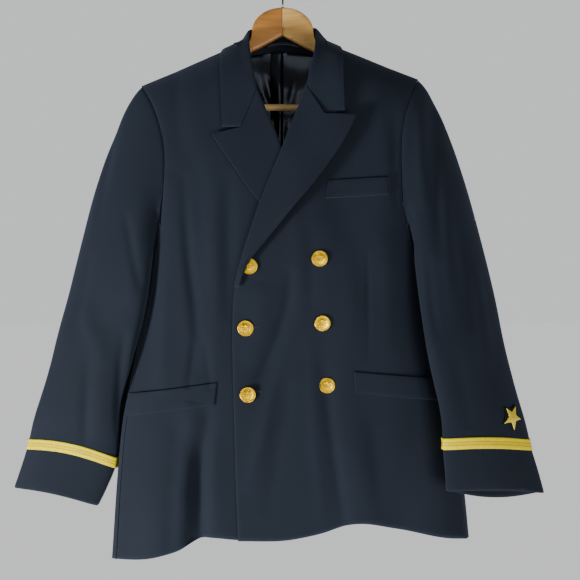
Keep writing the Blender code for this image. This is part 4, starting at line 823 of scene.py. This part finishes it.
def ornament_tree():
    """Beads or petals set round a circle, facing out from its middle."""
    group = bpy.data.node_groups.new("ring of ornaments", "GeometryNodeTree")
    face = group.interface
    face.new_socket("Start", in_out="INPUT", socket_type="NodeSocketGeometry")
    face.new_socket("Count", in_out="INPUT", socket_type="NodeSocketInt").default_value = 24
    for label, value in (("Ring radius", 0.011), ("Lift", 0.003), ("Lean", 0.0)):
        face.new_socket(label, in_out="INPUT", socket_type="NodeSocketFloat").default_value = value
    face.new_socket("Bead size", in_out="INPUT", socket_type="NodeSocketVector")
    face.new_socket("Metal", in_out="INPUT", socket_type="NodeSocketMaterial")
    face.new_socket("Ornaments", in_out="OUTPUT", socket_type="NodeSocketGeometry")
    make, link = group.nodes.new, group.links.new
    inlet, outlet = make("NodeGroupInput"), make("NodeGroupOutput")
    circle = make("GeometryNodeMeshCircle")
    link(inlet.outputs["Count"], circle.inputs["Vertices"])
    link(inlet.outputs["Ring radius"], circle.inputs["Radius"])
    spot, heading = make("GeometryNodeInputPosition"), make("FunctionNodeAlignRotationToVector")
    heading.axis = "X"
    heading.pivot_axis = "Z"
    link(spot.outputs["Position"], heading.inputs["Vector"])
    lean = make("FunctionNodeRotateRotation")
    lean.rotation_space = "LOCAL"
    turn = make("ShaderNodeCombineXYZ")
    link(inlet.outputs["Lean"], turn.inputs["Z"])
    euler = make("FunctionNodeEulerToRotation")
    link(turn.outputs["Vector"], euler.inputs["Euler"])
    link(heading.outputs["Rotation"], lean.inputs["Rotation"])
    link(euler.outputs["Rotation"], lean.inputs["Rotate By"])
    bead = make("GeometryNodeMeshIcoSphere")
    bead.inputs["Radius"].default_value = 1.0
    bead.inputs["Subdivisions"].default_value = 2
    copies = make("GeometryNodeInstanceOnPoints")
    link(circle.outputs["Mesh"], copies.inputs["Points"])
    link(bead.outputs["Mesh"], copies.inputs["Instance"])
    link(lean.outputs["Rotation"], copies.inputs["Rotation"])
    link(inlet.outputs["Bead size"], copies.inputs["Scale"])
    real = make("GeometryNodeRealizeInstances")
    link(copies.outputs["Instances"], real.inputs["Geometry"])
    raised = make("GeometryNodeTransform")
    shift = make("ShaderNodeCombineXYZ")
    link(inlet.outputs["Lift"], shift.inputs["Z"])
    link(shift.outputs["Vector"], raised.inputs["Translation"])
    link(real.outputs["Geometry"], raised.inputs["Geometry"])
    joined = make("GeometryNodeJoinGeometry")
    link(raised.outputs["Geometry"], joined.inputs["Geometry"])
    link(inlet.outputs["Start"], joined.inputs["Geometry"])
    painted = make("GeometryNodeSetMaterial")
    link(joined.outputs["Geometry"], painted.inputs["Geometry"])
    link(inlet.outputs["Metal"], painted.inputs["Material"])
    link(painted.outputs["Geometry"], outlet.inputs["Ornaments"])
    return group


ring_of_ornaments = ornament_tree()
ORNAMENTS = (
    # count, ring radius, lift, lean, size of each in millimetres
    (ROPE_BEADS, ROPE_RADIUS, 3.2, 0.7, (1.15, 0.75, 0.75)),
    (RING_BEADS, RING_RADIUS, 3.3, 0.0, (0.55, 0.55, 0.5)),
    (PETALS, PETAL_RADIUS, 3.7, 0.0, (2.5, 1.25, 0.75)),
    (1, 0.0, 4.1, 0.0, (1.5, 1.5, 0.8)),
)


def turned_disc(name, profile, sides):
    """A closed solid of revolution about Z from its profile in millimetres."""
    disc = bmesh.new()
    rings = []
    for radius, height in profile:
        if radius == 0:
            rings.append([disc.verts.new((0, 0, height * MM))])
        else:
            rings.append([
                disc.verts.new((radius * MM * math.cos(2 * math.pi * k / sides),
                                radius * MM * math.sin(2 * math.pi * k / sides), height * MM))
                for k in range(sides)
            ])
    for low, high in zip(rings[:-1], rings[1:]):
        for k in range(sides):
            m = (k + 1) % sides
            corners = (low[k % len(low)], low[m % len(low)],
                       high[m % len(high)], high[k % len(high)])
            disc.faces.new(list(dict.fromkeys(corners)))
    bmesh.ops.recalc_face_normals(disc, faces=disc.faces)
    mesh = bpy.data.meshes.new(name)
    disc.to_mesh(mesh)
    disc.free()
    return mesh


button_mesh = turned_disc("button blank", DISC_PROFILE, DISC_SIDES)
BUTTONS = (
    "button_right_top", "button_right_middle", "button_right_low",
    "button_left_top", "button_left_middle", "button_left_low",
)
FACING_FRONT = -0.8
for solid in BUTTONS:
    low, high = (Vector(corner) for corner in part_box(solid))
    middle = (low + high) / 2
    front_faces = [p for p in nodes[solid].data.polygons if p.normal.y < FACING_FRONT]
    facing = sum((p.normal * p.area for p in front_faces), Vector()).normalized()
    button = add_object("gilt_" + solid, button_mesh.copy())
    for count, radius, lift, lean, size in ORNAMENTS:
        stamp = button.modifiers.new("stamp", "NODES")
        stamp.node_group = ring_of_ornaments
        set_input(stamp, "Count", count)
        set_input(stamp, "Ring radius", radius * MM)
        set_input(stamp, "Lift", lift * MM)
        set_input(stamp, "Lean", lean)
        set_input(stamp, "Bead size", Vector(size) * MM)
        set_input(stamp, "Metal", gilt)
    button = baked(button)
    turn = facing.to_track_quat("Z", "X").to_matrix().to_4x4()
    button.data.transform(turn)
    shade_smooth(button.data)
    foremost = min(v.co.y for v in button.data.vertices)
    sink = body_push(np.array([middle]))[0]
    button.data.transform(Matrix.Translation((middle.x, low.y - foremost + sink, middle.z)))
    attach(button, "root")
    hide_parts(solid)

# Buttonholes: two near the left front's edge, beside the middle and the low button. Each is
# oversewn closely in dark thread, in three rows.
BUTTONHOLES = (((-46.4, -586.4), (-36.0, -586.0)), ((-42.1, -684.3), (-31.8, -683.6)))
ROWS_APART, HOLE_STITCH_LIFT = 0.9, 0.25 * MM
left_front = front_of(panels["front_left"])
hole_rows = []
for ends in BUTTONHOLES:
    for offset in (-ROWS_APART, 0.0, ROWS_APART):
        row = [(x, z + offset) for x, z in ends]
        hole_rows.append(on_front(left_front, row, HOLE_STITCH_LIFT, 1.0))
stitched("buttonhole_stitches", hole_rows, stitch_thread, "serge", Pitch=0.0012,
         Stitch_length=0.0011, Thread_radius=0.0004)

# Hanger: two arms of varnished wood mitred at the middle, a paler round bar between them and a
# bent wire hook screwed in at the top.
GRAIN_SCALE = (6.0, 40.0, 90.0)


def wood_material(name, dark, light, turn, rough):
    """Varnished wood with its grain along an arm that slopes by turn."""
    material, tree, shader = new_material(
        name, Roughness=rough, Coat_Weight=0.35, Coat_Roughness=0.2)
    place = node(tree, "ShaderNodeTexCoord")
    turned = node(tree, "ShaderNodeMapping", [("Vector", place.outputs["Object"])])
    turned.inputs["Rotation"].default_value = (0, turn, 0)
    turned.inputs["Scale"].default_value = GRAIN_SCALE
    grain = node(tree, "ShaderNodeTexNoise", [("Vector", turned.outputs["Vector"])],
                 Scale=1.6, Detail=6.0, Roughness=0.62, Distortion=0.4)
    colour = ramp(tree, grain.outputs["Fac"], [(0.30, dark), (0.70, light)])
    finish_shader(tree, shader, colour.outputs["Color"], grain.outputs["Fac"], 0.25, 0.0003)
    return material


ARM_SLOPE = math.radians(28)
WOOD_ROUNDS, WIRE_ROUNDS = 2, 1
HANGER = (
    # node, name, slot, material: its name, the dark and light of its grain, slope, roughness
    ("hanger_arm_right", "wooden_arm_right", "wood",
     ("varnished wood, right arm", (0.34, 0.125, 0.020), (0.50, 0.22, 0.045), ARM_SLOPE, 0.42)),
    ("hanger_arm_left", "wooden_arm_left", "wood",
     ("varnished wood, left arm", (0.52, 0.27, 0.060), (0.80, 0.47, 0.140), -ARM_SLOPE, 0.42)),
    ("trouser_bar", "trouser_bar_rod", "pale_wood",
     ("pale bar wood", (0.58, 0.33, 0.090), (0.82, 0.53, 0.20), 0.0, 0.4)),
)
for solid, name, slot_name, grain in HANGER:
    wooden = cloth_copy(solid, name, WOOD_ROUNDS)
    dress(wooden, wood_material(*grain), solid, slot_name)

wire, tree, shader = new_material("plated wire", Metallic=1.0, Roughness=0.25)
drawn = object_noise(tree, Scale=300.0, Detail=2.0)
shade = ramp(tree, drawn.outputs["Fac"], [(0.3, (0.30, 0.30, 0.31)), (0.7, (0.50, 0.50, 0.51))])
tree.links.new(shade.outputs["Color"], shader.inputs["Base Color"])
hook = cloth_copy("hanger_hook", "wire_hook", WIRE_ROUNDS)
dress(hook, wire, "hanger_hook", "steel")

# Floor, lights and camera: a plain pale studio. The main light comes from the image's left and
# falls off to its right, and the floor and the backdrop glow evenly.
FLOOR_Z, FLOOR_SIZE = -1.95, 30.0
STUDIO_TINT = (0.92, 0.93, 0.95, 1.0)
FLOOR_GLOW, BACKDROP_GLOW, AMBIENT_GLOW = 0.82, 0.80, 0.10
floor_corners = [(x * FLOOR_SIZE, y * FLOOR_SIZE, FLOOR_Z)
                 for x, y in ((-1, -1), (1, -1), (1, 1), (-1, 1))]
floor_mesh = bpy.data.meshes.new("floor")
floor_mesh.from_pydata(floor_corners, [], [(0, 1, 2, 3)])
floor = add_object("floor", floor_mesh)
floor_paint, tree, shader = new_material(
    "pale floor", Base_Color=(0.02, 0.02, 0.02, 1.0), Roughness=0.9, Emission_Color=STUDIO_TINT,
    Emission_Strength=FLOOR_GLOW)
floor_mesh.materials.append(floor_paint)

world = bpy.data.worlds.new("studio")
bpy.context.scene.world = world
world.use_nodes = True
tree = world.node_tree
backdrop, ambient = tree.nodes["Background"], tree.nodes.new("ShaderNodeBackground")
for glow, strength in ((backdrop, BACKDROP_GLOW), (ambient, AMBIENT_GLOW)):
    glow.inputs["Color"].default_value = STUDIO_TINT
    glow.inputs["Strength"].default_value = strength
seen = tree.nodes.new("ShaderNodeLightPath")
choose = tree.nodes.new("ShaderNodeMixShader")
tree.links.new(seen.outputs["Is Camera Ray"], choose.inputs[0])
tree.links.new(ambient.outputs["Background"], choose.inputs[1])
tree.links.new(backdrop.outputs["Background"], choose.inputs[2])
tree.links.new(choose.outputs["Shader"], tree.nodes["World Output"].inputs["Surface"])

TARGET = Vector((0.0, -0.03, -0.5))
LIGHTS = (
    # name, place, size, watts, colour
    ("window light", (-1.9, -1.25, -1.55), 0.5, 98.0, (0.94, 0.97, 1.0)),
    ("fill light", (1.2, -2.0, -1.4), 1.2, 32.0, (0.97, 0.98, 1.0)),
    ("neck light", (0.10, -2.1, 0.0), 0.5, 1.9, (0.82, 0.90, 1.0)),
    ("back light", (0.7, 2.2, -0.6), 1.0, 90.0, (0.97, 0.98, 1.0)),
)
for name, place_of, size, watts, colour in LIGHTS:
    lamp = bpy.data.lights.new(name, "AREA")
    lamp.size, lamp.energy, lamp.color = size, watts, colour
    lamp_object = add_object(name, lamp)
    lamp_object.location = place_of
    lamp_object.rotation_euler = (TARGET - Vector(place_of)).to_track_quat("-Z", "Y").to_euler()

CAMERA_PLACE = (0.0118, -1.150, -0.530)
SENSOR_WIDTH, LENS = 36.0, 44.05
camera_data = bpy.data.cameras.new("camera")
camera_data.sensor_width, camera_data.lens = SENSOR_WIDTH, LENS
camera_data.clip_start, camera_data.clip_end = 0.01, 60.0
camera = add_object("camera", camera_data)
camera.location = CAMERA_PLACE
camera.rotation_euler = (math.radians(90), 0.0, 0.0)
bpy.context.scene.camera = camera
